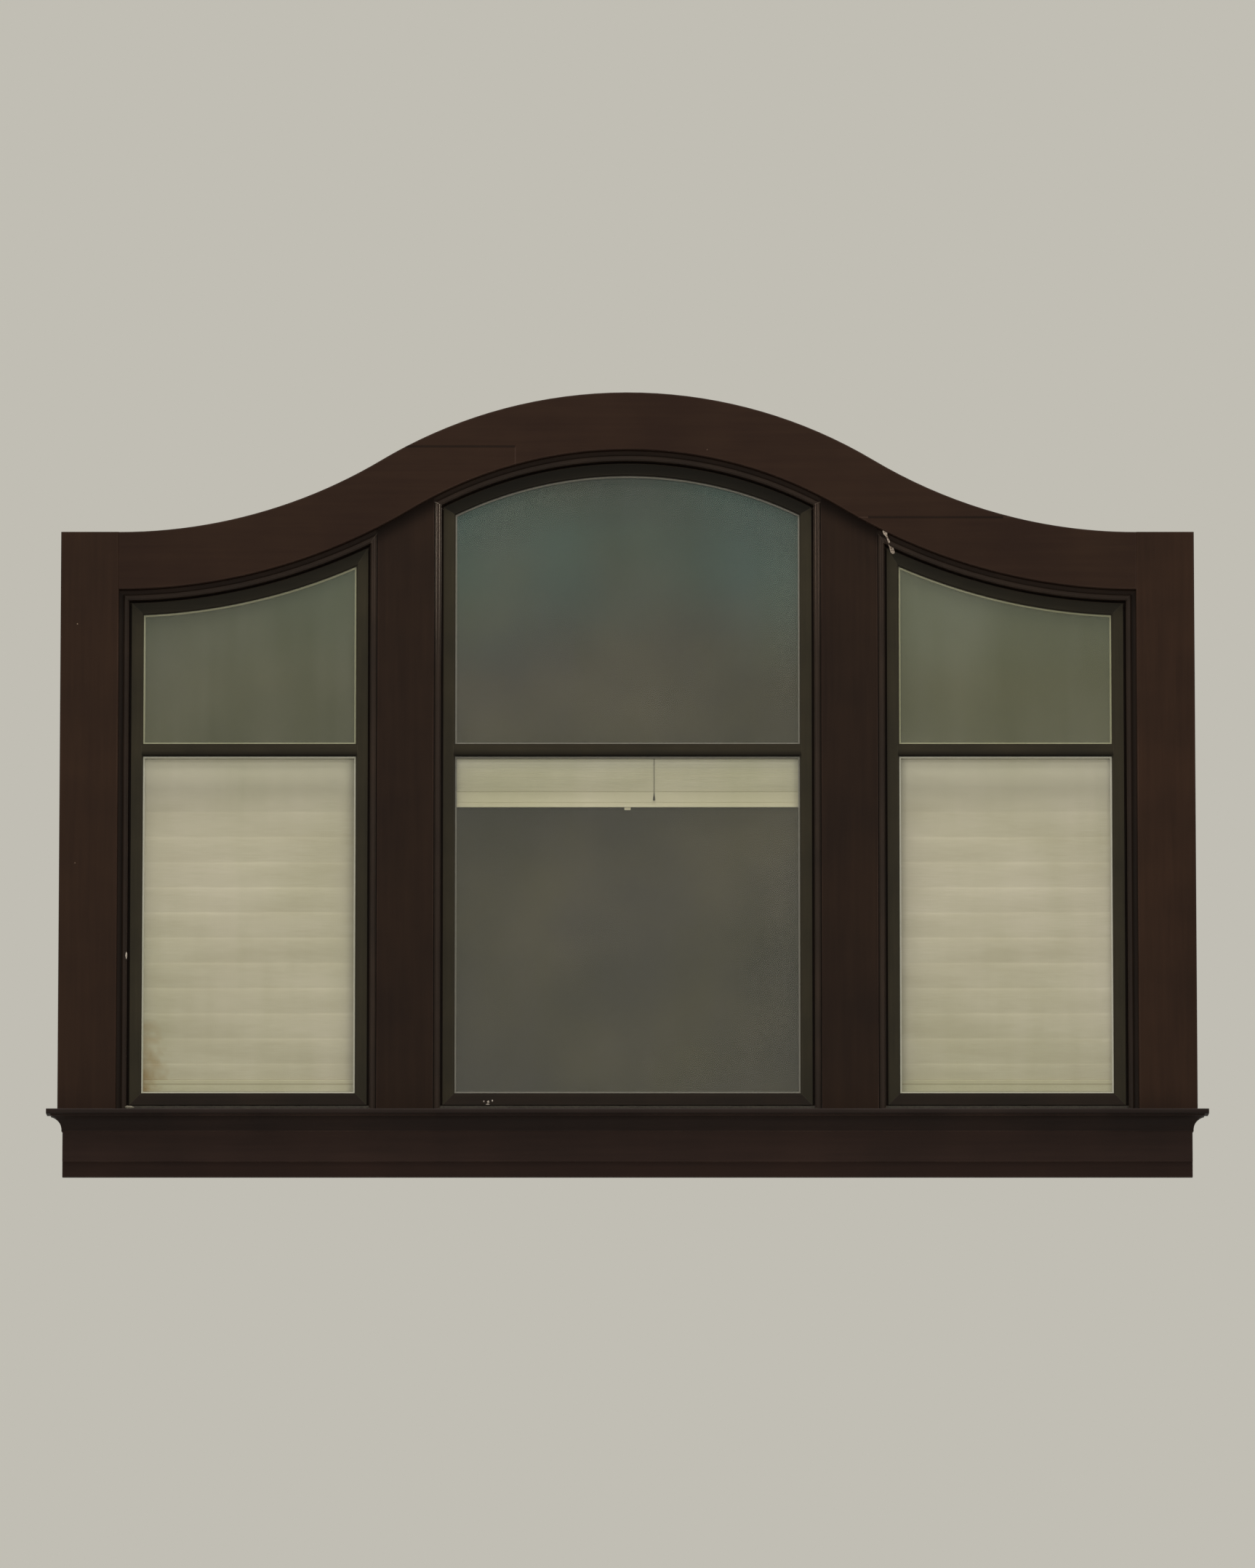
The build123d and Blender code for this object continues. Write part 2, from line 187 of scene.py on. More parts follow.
def slab(outline: Outline, front: float, back: float) -> Mesh:
    """Close an outline into a flat slab.

    Args:
        outline: Points (x, z), anticlockwise as seen from the front.
        front: Y of the front face.
        back: Y of the back face.

    Returns:
        Vertices and faces of the slab.
    """
    return lofted([[(x, y, z) for x, z in outline] for y in (back, front)])


def hoop(outer: Outline, inner: Outline, front: float, back: float) -> Mesh:
    """Close the strip between two outlines into a flat hoop.

    Args:
        outer: Outer points (x, z), anticlockwise as seen from the front.
        inner: Inner points, each opposite the outer one with its number.
        front: Y of the front face.
        back: Y of the back face.

    Returns:
        Vertices and faces of the hoop.
    """
    loops = ((outer, back), (inner, back), (inner, front), (outer, front))
    return lofted([[(x, y, z) for x, z in outline] for outline, y in loops], looped=True)


def turned(profile: Sequence[tuple[float, float]], centre: Point, sides: int) -> Mesh:
    """Turn a profile round a vertical line, as on a lathe.

    Args:
        profile: Points (radius, height) from top to bottom; the first and last have radius zero.
        centre: Point that the heights are measured from.
        sides: Number of facets round the line.

    Returns:
        Vertices and faces of the closed form.
    """
    x, y, z = centre
    rings = []
    for radius, height in reversed(profile):
        angles = turns(sides if radius else 1)
        rings.append([(x + radius * math.cos(a), y + radius * math.sin(a), z + height) for a in angles])
    return lofted(rings)


def joined(first: Mesh, second: Mesh) -> Mesh:
    """Put two forms into one mesh.

    Args:
        first: Vertices and faces of one form.
        second: Vertices and faces of the other.

    Returns:
        Vertices and faces of both.
    """
    start = len(first[0])
    return first[0] + second[0], first[1] + [[start + i for i in face] for face in second[1]]


def add_mesh(name: str, mesh: Mesh, material: bpy.types.Material, smooth: bool = False) -> bpy.types.Object:
    """Add a mesh object to the scene with one material.

    Args:
        name: Name of the piece.
        mesh: Its vertices and faces.
        material: Finish of the whole piece.
        smooth: Whether the faces are shaded smooth.

    Returns:
        The new object.
    """
    data = bpy.data.meshes.new(name)
    data.from_pydata(mesh[0], [], mesh[1])
    data.materials.append(material)
    data.polygons.foreach_set("use_smooth", [smooth] * len(data.polygons))
    data.update()
    return add_object(name, data)


def add_object(name: str, data: bpy.types.ID) -> bpy.types.Object:
    """Add an object to the scene.

    Args:
        name: Name of the object.
        data: Mesh, curve, lamp or camera that it shows.

    Returns:
        The new object.
    """
    made = bpy.data.objects.new(name, data)
    bpy.context.scene.collection.objects.link(made)
    return made


# Shape of the window


class Light(Enum):
    """One of the three lights, with the left and right edge of its glass."""

    LEFT = (-1.838, -1.031)
    CENTRE = (-0.654, 0.654)
    RIGHT = (1.031, 1.838)

    @property
    def title(self) -> str:
        """Name that the light's nodes start with."""
        return self.name.lower()

    @property
    def left(self) -> float:
        """Left edge of the glass."""
        return self.value[0]

    @property
    def right(self) -> float:
        """Right edge of the glass."""
        return self.value[1]


@dataclass(frozen=True)
class Ogee:
    """Curve of the glass heads: a crown arc over the middle that turns into a hollow flank on each side."""

    crown_radius: float = 1494 * MM
    rise: float = 538 * MM
    half_span: float = 1932 * MM
    head: float = 2685 * MM

    @property
    def flank_foot(self) -> float:
        """Height of the curve's lowest point."""
        return self.head - self.rise

    @property
    def flank_radius(self) -> float:
        """Radius of the hollow flanks, so that they meet the crown with one tangent."""
        return (self.half_span**2 + self.rise**2) / (2 * self.rise) - self.crown_radius

    def height(self, x: float, margin: float) -> float:
        """Height of the curve above a place on the X axis, when the curve is moved outward.

        Args:
            x: Place along the window.
            margin: How far outward the curve is moved.

        Returns:
            Height above the apron's foot.
        """
        across = abs(x)
        lean = math.asin(self.half_span / (self.crown_radius + self.flank_radius))
        crown = self.crown_radius + margin
        flank = self.flank_radius - margin
        if across >= self.half_span:
            return self.flank_foot + margin
        if across <= crown * math.sin(lean):
            return self.head - self.crown_radius + math.sqrt(crown**2 - across**2)
        return self.flank_foot + self.flank_radius - math.sqrt(flank**2 - (self.half_span - across) ** 2)


@dataclass(frozen=True)
class Openings:
    """Heights and outlines that all three lights share."""

    ogee: Ogee = Ogee()
    glass_foot: float = 322 * MM
    bar_foot: float = 1607 * MM
    bar_head: float = 1655 * MM
    steps: int = 40

    def outline(self, light: Light, margin: float, low: float, high: float | None) -> Outline:
        """Outline of a pane or frame in one light.

        Args:
            light: The light.
            margin: How far the sides and the curved head stand outward of the glass's edge.
            low: Height of the foot.
            high: Height of a level head, or None for the curved head.

        Returns:
            Points (x, z), anticlockwise as seen from the front, the foot's two corners first.
        """
        left, right = light.left - margin, light.right + margin
        foot = [(left, low), (right, low)]
        if high is not None:
            return foot + [(right, high), (left, high)]
        across = [right + (left - right) * i / self.steps for i in range(self.steps + 1)]
        return foot + [(x, self.ogee.height(x, margin)) for x in across]


# Finishes

# Attribute that holds each point's place on the cloth while it is still flat.
CLOTH_PLACE = "cloth_place"

# Cosine of the turn of a face, about 10 degrees, at which an arris starts to wear.
FIRST_TURN = 0.985


class Grain(Enum):
    """Way that boards were planed and brushed, as the stretch of their pattern along X, Y and Z."""

    LEVEL = (0.04, 1.0, 1.0)
    UPRIGHT = (1.0, 1.0, 0.04)


@dataclass(frozen=True)
class JointLine:
    """Level joint between two boards, where dirt has settled."""

    start: float
    end: float
    height: float


@dataclass(frozen=True)
class Shelter:
    """Straight run of the head's lower edge above a board, under which the paint is darkened as a painted
    shadow.
    """

    start: float
    end: float
    start_height: float
    end_height: float
    # The painted shadow reaches down about three times the depth of the 27 mm ledge.
    reach: float = 80 * MM


@dataclass(frozen=True)
class Pattern:
    """Cloudy pattern: its size, how many octaves it has and how strongly each adds to the last."""

    size: float
    detail: float
    fineness: float


@dataclass(frozen=True)
class Ground:
    """What weather works on: the paint's node tree, its patterns and where its arrises are."""

    tree: Tree
    place: Socket
    streaks: Socket
    patches: Socket
    edge: Socket


@dataclass(frozen=True)
class BrushedPaint:
    """Paint brushed along the grain, in two tones, with an uneven gloss and worn arrises."""

    name: str
    colour: str
    second: str
    grain: Grain
    worn: str
    streaks: Pattern
    patches: Pattern
    # How much the streaks count beside the patches, and the sums between which the second tone comes in.
    streak_weight: float
    tones: tuple[float, float]
    # Radius within which an arris wears, the cosine of the turn that is fully worn, and how much shows.
    edge_radius: float
    worn_turn: float
    wear: float
    roughness: float
    roughness_drop: float
    relief: float
    relief_depth: float
    ior: float
    specular: float

    def weather(self, ground: Ground) -> list[Coat]:
        """Find what the weather has left on the paint.

        Args:
            ground: The paint below.

        Returns:
            Share and colour of each coat, from the lowest one up.
        """
        raise NotImplementedError

    def material(self) -> bpy.types.Material:
        """Build the node tree of the paint."""
        material, tree, place = new_material(self.name)
        along = add_node(tree, "Mapping", {"Vector": place, "Scale": self.grain.value})
        streaks, patches = (
            add_node(
                tree,
                "TexNoise",
                {"Vector": where, "Scale": 1 / look.size, "Detail": look.detail, "Roughness": look.fineness},
            )
            for where, look in ((along, self.streaks), (place, self.patches))
        )
        sums = add_node(
            tree, "Math", {0: streaks, 1: self.streak_weight, 2: patches}, operation="MULTIPLY_ADD"
        )
        start, end = self.tones
        share = add_node(tree, "MapRange", {"Value": sums, "From Min": start, "From Max": end})
        rounded = add_node(tree, "Bevel", {"Radius": self.edge_radius}, samples=4)
        true = add_node(tree, "NewGeometry", {}, "Normal")
        turn = add_node(tree, "VectorMath", {0: rounded, 1: true}, "Value", operation="DOT_PRODUCT")
        wearing = {"From Min": FIRST_TURN, "From Max": self.worn_turn, "To Max": self.wear}
        edge = add_node(tree, "MapRange", {"Value": turn, **wearing})
        weather = self.weather(Ground(tree, place, streaks, patches, edge))
        dull, shiny = self.roughness + 0.1, self.roughness - self.roughness_drop
        gloss = add_node(
            tree,
            "MapRange",
            {"Value": patches, "From Min": 0.3, "From Max": 0.7, "To Min": shiny, "To Max": dull},
        )
        relief = add_node(
            tree, "Bump", {"Strength": self.relief, "Distance": self.relief_depth, "Height": streaks}
        )
        shader = add_node(
            tree,
            "BsdfPrincipled",
            {
                "Base Color": lay_coats(tree, self.colour, [(share, self.second), *weather]),
                "Roughness": gloss,
                "Normal": relief,
                "IOR": self.ior,
                "Specular IOR Level": self.specular,
            },
        )
        add_node(tree, "OutputMaterial", {"Surface": shader})
        return material


@dataclass(frozen=True)
class PaintedCedar(BrushedPaint):
    """Rough-sawn western red cedar boards under an oil paint, brushed on along the grain.

    The paint has dried satin and lost its gloss to the weather, so it gives the eye a deep brown with
    long faint streaks, paler rubbed arrises and a grey bloom on what faces upward.
    """

    worn: str = "#42332b"
    # Saw and brush marks are 2 to 4 mm apart, and drawn 22 mm apart so that they show at this size.
    streaks: Pattern = Pattern(22 * MM, 6.0, 0.62)
    # Patches where the paint has bleached are about as long as a brush load covers.
    patches: Pattern = Pattern(420 * MM, 3.0, 0.55)
    streak_weight: float = 0.6
    tones: tuple[float, float] = (0.62, 1.02)
    edge_radius: float = 5 * MM
    worn_turn: float = 0.84
    wear: float = 1.0
    roughness: float = 0.6
    roughness_drop: float = 0.08
    relief: float = 0.35
    relief_depth: float = 0.8 * MM
    ior: float = 1.48
    specular: float = 0.12
    bloom: str = "#383230"
    fleck: str = "#6e5c4d"
    joint_dirt: str = "#0c0806"
    # Colour of the painted shadow under the head on the mullion casings.
    head_shadow_colour: str = "#100a07"
    # Chips about 5 mm across, at most one in each 150 mm.
    fleck_spacing: float = 150 * MM
    fleck_size: float = 2.4 * MM
    fleck_share: float = 0.16
    joints: tuple[JointLine, ...] = ()
    joint_width: float = 7 * MM
    # Edge of the head above the board, under which a painted shadow falls.
    shelter: Shelter | None = None

    def weather(self, ground: Ground) -> list[Coat]:
        """Find the chips, worn arrises, bloom, dirt and the painted shadow under the head.

        Args:
            ground: The paint below.

        Returns:
            Share and colour of each coat, from the lowest one up.
        """
        coats = [
            (self._flecks(ground), self.fleck),
            (self._rubbed(ground), self.worn),
            (self._facing_up(ground), self.bloom),
        ]
        coats += [(self._beside(ground, joint), self.joint_dirt) for joint in self.joints]
        if self.shelter is not None:
            coats.append((self._painted_head_shadow(ground, self.shelter), self.head_shadow_colour))
        return coats

    def _flecks(self, ground: Ground) -> Socket:
        """Scatter a few small chips in the paint.

        Args:
            ground: The paint below.

        Returns:
            Share of bare wood.
        """
        tree = ground.tree
        cells = {"Vector": ground.place, "Scale": 1 / self.fleck_spacing}
        tint = add_node(tree, "TexVoronoi", cells, "Color")
        apart = {0: tint.node.outputs["Distance"], 1: self.fleck_size / self.fleck_spacing}
        small = add_node(tree, "Math", apart, operation="LESS_THAN")
        draw = add_node(tree, "SeparateColor", {"Color": tint}, "Red")
        chosen = add_node(tree, "Math", {0: draw, 1: self.fleck_share}, operation="LESS_THAN")
        return add_node(tree, "Math", {0: small, 1: chosen}, operation="MULTIPLY")

    def _rubbed(self, ground: Ground) -> Socket:
        """Let worn paint show unevenly along the arrises.

        Args:
            ground: The paint below.

        Returns:
            Share of worn paint.
        """
        limits = {"From Min": 0.35, "From Max": 0.65, "To Min": 0.25}
        uneven = add_node(ground.tree, "MapRange", {"Value": ground.patches, **limits})
        return add_node(ground.tree, "Math", {0: ground.edge, 1: uneven}, operation="MULTIPLY")

    def _facing_up(self, ground: Ground) -> Socket:
        """Lay bloom and dust on what faces upward, where the streaks hold it.

        Args:
            ground: The paint below.

        Returns:
            Share of bloom.
        """
        facing = add_node(ground.tree, "NewGeometry", {}, "Normal")
        upward = add_node(ground.tree, "SeparateXYZ", {"Vector": facing}, "Z")
        lying = add_node(ground.tree, "MapRange", {"Value": upward, "From Min": 0.25, "From Max": 0.95})
        return add_node(ground.tree, "Math", {0: lying, 1: ground.streaks}, operation="MULTIPLY")

    def _beside(self, ground: Ground, joint: JointLine) -> Socket:
        """Darken the paint beside a joint between two boards.

        Args:
            ground: The paint below.
            joint: The joint.

        Returns:
            Share of dirt.
        """
        tree = ground.tree
        up = add_node(tree, "SeparateXYZ", {"Vector": ground.place}, "Z")
        above = add_node(tree, "Math", {0: up, 1: joint.height}, operation="SUBTRACT")
        apart = add_node(tree, "Math", {0: above}, operation="ABSOLUTE")
        limits = {"From Min": self.joint_width, "From Max": 0.0, "To Max": 0.85}
        near = add_node(tree, "MapRange", {"Value": apart, **limits})
        middle = (joint.start + joint.end) / 2
        off = add_node(tree, "Math", {0: up.node.outputs["X"], 1: middle}, operation="SUBTRACT")
        reach = add_node(tree, "Math", {0: off}, operation="ABSOLUTE")
        half = abs(joint.end - joint.start) / 2
        within = add_node(tree, "Math", {0: reach, 1: half}, operation="LESS_THAN")
        return add_node(tree, "Math", {0: near, 1: within}, operation="MULTIPLY")

    def _painted_head_shadow(self, ground: Ground, shelter: Shelter) -> Socket:
        """Darken the paint close under the head, as a painted shadow of the head casing.

        Args:
            ground: The paint below.
            shelter: Lower edge of the head above the board.

        Returns:
            Share of painted shadow.
        """
        tree = ground.tree
        up = add_node(tree, "SeparateXYZ", {"Vector": ground.place}, "Z")
        run = {"From Min": shelter.start, "From Max": shelter.end}
        rise = {"To Min": shelter.start_height, "To Max": shelter.end_height}
        ledge = add_node(tree, "MapRange", {"Value": up.node.outputs["X"], **run, **rise})
        below = add_node(tree, "Math", {0: ledge, 1: up}, operation="SUBTRACT")
        limits = {"From Min": shelter.reach, "From Max": 0.0, "To Max": 0.8}
        return add_node(tree, "MapRange", {"Value": below, **limits}, interpolation_type="SMOOTHSTEP")


@dataclass(frozen=True)
class BakedEnamel(BrushedPaint):
    """Olive-black baked enamel over planed pine, on frames, sashes and bars.

    It is smoother than the casing paint, so it gives the eye a dark, even olive with a soft sheen,
    thin grey chalking in patches and paler arrises.
    """

    worn: str = "#3f3a30"
    # Brush marks are about 1 mm apart, and drawn 9 mm apart so that they show at this size.
    streaks: Pattern = Pattern(9 * MM, 4.0, 0.5)
    patches: Pattern = Pattern(260 * MM, 4.0, 0.6)
    streak_weight: float = 0.4
    tones: tuple[float, float] = (0.55, 0.95)
    edge_radius: float = 3 * MM
    worn_turn: float = 0.8
    wear: float = 0.5
    roughness: float = 0.45
    roughness_drop: float = 0.06
    relief: float = 0.2
    relief_depth: float = 0.4 * MM
    ior: float = 1.5
    specular: float = 0.16
    # Painted highlight: from this height up the arris is drawn paler, for the light that it catches.
    highlight_height: float | None = None
    highlight_rise: float = 0.55
    highlight_sharpness: float = 3.2
    highlight_colour: str = "#8b7f6e"
    # Height of the bar's lower arris, above which the bar is darkened as a painted shadow, and how far up it
    # reaches.
    drip: float | None = None
    drip_reach: float = 23 * MM
    drip_dirt: str = "#0f0c06"

    def weather(self, ground: Ground) -> list[Coat]:
        """Find the worn arrises, the painted highlight high on them and the painted shadow over the bar's
        foot.

        Args:
            ground: The enamel below.

        Returns:
            Share and colour of each coat, from the lowest one up.
        """
        tree = ground.tree
        coats = [(ground.edge, self.worn)]
        if self.highlight_height is not None:
            up = add_node(tree, "SeparateXYZ", {"Vector": ground.place}, "Z")
            limits = {"From Min": self.highlight_height, "From Max": self.highlight_height + self.highlight_rise}
            high = add_node(tree, "MapRange", {"Value": up, **limits}, interpolation_type="SMOOTHSTEP")
            sharper = {0: ground.edge, 1: self.highlight_sharpness}
            crisp = add_node(tree, "Math", sharper, operation="MULTIPLY", use_clamp=True)
            painted_highlight = add_node(tree, "Math", {0: crisp, 1: high}, operation="MULTIPLY")
            coats.append((painted_highlight, self.highlight_colour))
        # Painted shadow along the bar's lower arris.
        if self.drip is not None:
            up = add_node(tree, "SeparateXYZ", {"Vector": ground.place}, "Z")
            limits = {"From Min": self.drip + self.drip_reach, "From Max": self.drip, "To Max": 0.95}
            coats.append((add_node(tree, "MapRange", {"Value": up, **limits}), self.drip_dirt))
        return coats


@dataclass(frozen=True)
class FloatGlass:
    """Clear soda-lime float glass with a thin film of dust.

    It gives the eye a faint mirror of the surroundings and a grey-green veil where rain has left dust.
    Lamps pass straight through it, so that what hangs behind is lit.
    """

    name: str
    tint: str
    veil: str
    clearness: float
    # Rain leaves its dust in runs about 60 mm wide.
    run_width: float = 60 * MM
    run_stretch: Point = (1.0, 1.0, 0.12)
    cloud_size: float = 700 * MM

    def material(self) -> bpy.types.Material:
        """Build the node tree of the glass."""
        material, tree, place = new_material(self.name)
        upright = add_node(tree, "Mapping", {"Vector": place, "Scale": self.run_stretch})
        runs = add_node(tree, "TexNoise", {"Vector": upright, "Scale": 1 / self.run_width, "Detail": 3.0})
        clouds = add_node(tree, "TexNoise", {"Vector": place, "Scale": 1 / self.cloud_size, "Detail": 2.0})
        dust = add_node(tree, "Math", {0: runs, 1: 0.3, 2: clouds}, operation="MULTIPLY_ADD")
        share = add_node(tree, "MapRange", {"Value": dust, "From Min": 0.5, "From Max": 0.85})
        pane = add_node(
            tree,
            "BsdfPrincipled",
            {
                "Base Color": lay_coats(tree, self.tint, [(share, self.veil)]),
                "Roughness": 0.0,
                "IOR": 1.34,
                "Transmission Weight": self.clearness,
            },
        )
        through = add_node(tree, "BsdfTransparent", {"Color": (0.98, 0.98, 0.975, 1.0)})
        lamp_ray = add_node(tree, "LightPath", {}, "Is Shadow Ray")
        mixed = add_node(tree, "MixShader", {0: lamp_ray, 1: pane, 2: through})
        add_node(tree, "OutputMaterial", {"Surface": mixed})
        return material


@dataclass(frozen=True)
class RoomShadeGlass:
    """Smoked glass on the room side of each light.

    Its dark tint is painted shade for the unlit room: it gives the eye the deep grey that the lights
    show wherever no shade hangs behind them.
    """

    name: str = "smoked_glass"
    tint: str = "#302d1e"
    clouded: str = "#4e4833"
    cool: str = "#286967"
    cloud_size: float = 520 * MM
    # Painted reflection: a cool cast that comes and goes over about 1.2 m and sets in towards the head.
    reflection_size: float = 1200 * MM
    # Which slice of the pattern is used, and so where the painted reflection's patches fall.
    reflection_slice: float = 3.4
    cool_foot: float = 1900 * MM
    cool_head: float = 2500 * MM
    clearness: float = 0.6

    def material(self) -> bpy.types.Material:
        """Build the node tree of the smoked glass."""
        material, tree, place = new_material(self.name)
        clouds = add_node(tree, "TexNoise", {"Vector": place, "Scale": 1 / self.cloud_size, "Detail": 3.0})
        cloudy = add_node(tree, "MapRange", {"Value": clouds, "From Min": 0.35, "From Max": 0.65})
        reflection_noise = add_node(
            tree,
            "TexNoise",
            {"Vector": place, "W": self.reflection_slice, "Scale": 1 / self.reflection_size, "Detail": 2.0},
            noise_dimensions="4D",
        )
        reflection_patches = add_node(tree, "MapRange", {"Value": reflection_noise, "From Min": 0.3, "From Max": 0.56})
        up = add_node(tree, "SeparateXYZ", {"Vector": place}, "Z")
        near_head = add_node(
            tree, "MapRange", {"Value": up, "From Min": self.cool_foot, "From Max": self.cool_head}
        )
        cool = add_node(tree, "Math", {0: reflection_patches, 1: near_head}, operation="MULTIPLY")
        shader = add_node(
            tree,
            "BsdfPrincipled",
            {
                "Base Color": lay_coats(tree, self.tint, [(cloudy, self.clouded), (cool, self.cool)]),
                "Roughness": 0.0,
                "IOR": 1.34,
                "Transmission Weight": self.clearness,
            },
        )
        add_node(tree, "OutputMaterial", {"Surface": shader})
        return material


@dataclass(frozen=True)
class MillAluminium:
    """Mill-finish aluminium strip, rolled, on the spacers of the sealed units.

    It gives the eye the thin pale line just inside the edge of each pane.
    """

    name: str
    colour: str
    dull: str
    # Rolling marks are under 1 mm apart, and drawn 5 mm apart so that they show at this size.
    mark_spacing: float = 5 * MM

    def material(self) -> bpy.types.Material:
        """Build the node tree of the metal."""
        material, tree, place = new_material(self.name)
        marks = add_node(tree, "TexNoise", {"Vector": place, "Scale": 1 / self.mark_spacing, "Detail": 3.0})
        colour = lay_coats(tree, self.colour, [(marks, self.dull)])
        shader = add_node(tree, "BsdfPrincipled", {"Base Color": colour, "Metallic": 0.6, "Roughness": 0.5})
        add_node(tree, "OutputMaterial", {"Surface": shader})
        return material


@dataclass(frozen=True)
class MouldedPlastic:
    """Moulded ABS with a fine spark-eroded texture, for the knob and the eyelet.

    It gives the eye a small dark accent with a soft highlight.
    """

    name: str
    colour: str
    rubbed: str
    # Spark-eroded grain is 0.1 mm, and drawn at 1.5 mm so that it shows close up.
    grain: float = 1.5 * MM

    def material(self) -> bpy.types.Material:
        """Build the node tree of the plastic."""
        material, tree, place = new_material(self.name)
        speck = add_node(tree, "TexNoise", {"Vector": place, "Scale": 1 / self.grain, "Detail": 3.0})
        colour = lay_coats(tree, self.colour, [(speck, self.rubbed)])
        relief = add_node(tree, "Bump", {"Strength": 0.1, "Distance": 0.1 * MM, "Height": speck})
        look = {"Base Color": colour, "Roughness": 0.38, "Normal": relief, "IOR": 1.53}
        add_node(tree, "OutputMaterial", {"Surface": add_node(tree, "BsdfPrincipled", look)})
        return material


@dataclass(frozen=True)
class Sealant:
    """Acrylic sealant, tooled with a wet finger and then painted or left bare.

    It gives the eye a thin soft-edged line or a pale spot where the paint has come away.
    """

    name: str
    colour: str
    grubby: str
    # Tooling marks are about 6 mm apart.
    mark_spacing: float = 6 * MM

    def material(self) -> bpy.types.Material:
        """Build the node tree of the sealant."""
        material, tree, place = new_material(self.name)
        marks = add_node(tree, "TexNoise", {"Vector": place, "Scale": 1 / self.mark_spacing, "Detail": 4.0})
        share = add_node(tree, "MapRange", {"Value": marks, "From Min": 0.4, "From Max": 0.62})
        colour = lay_coats(tree, self.colour, [(share, self.grubby)])
        relief = add_node(tree, "Bump", {"Strength": 0.3, "Distance": 0.5 * MM, "Height": marks})
        look = {"Base Color": colour, "Roughness": 0.6, "Normal": relief, "IOR": 1.47}
        add_node(tree, "OutputMaterial", {"Surface": add_node(tree, "BsdfPrincipled", look)})
        return material


@dataclass(frozen=True)
class Stain:
    """Brown water stain: where it is worst, how far it spreads and how its pattern is squeezed.

    Water creeps up a side hem further than across it, so the stain is taller than wide.
    """

    centre: Point
    spread: float
    squeeze: Point
    colour: str = "#957436"
    # The stain's edge wanders in tongues about 40 mm wide, 24 to the metre.
    tongues: float = 24.0

    def coat(self, tree: Tree, place: Socket) -> Coat:
        """Find how strong the stain is at each place.

        Args:
            tree: Tree of the stained material.
            place: Place of the shaded point.

        Returns:
            Share and colour of the stain.
        """
        wander = add_node(tree, "TexNoise", {"Vector": place, "Scale": self.tongues, "Detail": 5.0})
        squeezed = add_node(tree, "Mapping", {"Vector": place, "Scale": self.squeeze})
        worst = tuple(c * s for c, s in zip(self.centre, self.squeeze))
        apart = add_node(tree, "VectorMath", {0: squeezed, 1: worst}, "Value", operation="DISTANCE")
        rough = add_node(tree, "Math", {0: wander, 1: self.spread * 1.3, 2: apart}, operation="MULTIPLY_ADD")
        limits = {"From Min": self.spread * 1.4, "From Max": self.spread * 0.5, "To Max": 0.9}
        return add_node(tree, "MapRange", {"Value": rough, **limits}), self.colour


@dataclass(frozen=True)
class WovenPolyester:
    """Plain-woven cream polyester, sewn into soft folds.

    It gives the eye a matt, warm cream with faint slubs along the weft and a soft sheen at its edges.
    """

    name: str
    colour: str = "#c3bba7"
    shaded: str = "#b4ac96"
    stain: Stain | None = None
    # Painted light: the stretch next to the head rail is drawn lighter, against the shadow of the bar.
    clean: str = "#dcd5c0"
    clean_reach: float = 220 * MM
    # Threads lie 0.5 mm apart, and are drawn 4 mm apart so that they show at this size.
    thread_spacing: float = 4 * MM
    # Slubs are thick places in the weft, 3 mm high and about 100 mm long.
    slub_height: float = 3 * MM
    slub_stretch: float = 0.03
    # Handling and dust leave level bands about 130 mm high and 600 mm long, 7.5 to the metre.
    band_scale: float = 7.5
    band_stretch: float = 0.22

    def material(self) -> bpy.types.Material:
        """Build the node tree of the cloth."""
        material, tree, cloth = new_material(self.name, CLOTH_PLACE)
        patterns = (
            (self.slub_stretch, 1 / self.slub_height, 2.0),
            (self.band_stretch, self.band_scale, 3.0),
        )
        slubs, bands = (
            add_node(
                tree,
                "TexNoise",
                {
                    "Vector": add_node(tree, "Mapping", {"Vector": cloth, "Scale": (stretch, 1.0, 1.0)}),
                    "Scale": scale,
                    "Detail": detail,
                },
            )
            for stretch, scale, detail in patterns
        )
        tones = add_node(tree, "Math", {0: slubs, 1: 0.5, 2: bands}, operation="MULTIPLY_ADD")
        share = add_node(tree, "MapRange", {"Value": tones, "From Min": 0.55, "From Max": 0.95})
        down = add_node(tree, "SeparateXYZ", {"Vector": cloth}, "Y")
        painted_light_share = add_node(
            tree,
            "MapRange",
            {"Value": down, "From Min": self.clean_reach, "From Max": 0.0},
            interpolation_type="SMOOTHSTEP",
        )
        coats = [(share, self.shaded), (painted_light_share, self.clean)]
        if self.stain is not None:
            coats.append(self.stain.coat(tree, cloth))
        # A wave texture's scale of pi / 10 makes one band in each unit of length.
        threads = {"Vector": cloth, "Scale": math.pi / 10 / self.thread_spacing, "Distortion": 0.4}
        warp, weft = (add_node(tree, "TexWave", threads, "Fac", bands_direction=way) for way in "XY")
        weave = add_node(tree, "Math", {0: warp, 1: weft}, operation="MULTIPLY")
        height = add_node(tree, "Math", {0: slubs, 1: 1.2, 2: weave}, operation="MULTIPLY_ADD")
        relief = add_node(tree, "Bump", {"Strength": 0.25, "Distance": 0.4 * MM, "Height": height})
        shader = add_node(
            tree,
            "BsdfPrincipled",
            {
                "Base Color": lay_coats(tree, self.colour, coats),
                "Roughness": 0.85,
                "Normal": relief,
                "IOR": 1.45,
                "Specular IOR Level": 0.2,
                "Sheen Weight": 0.15,
                "Sheen Roughness": 0.5,
            },
        )
        add_node(tree, "OutputMaterial", {"Surface": shader})
        return material


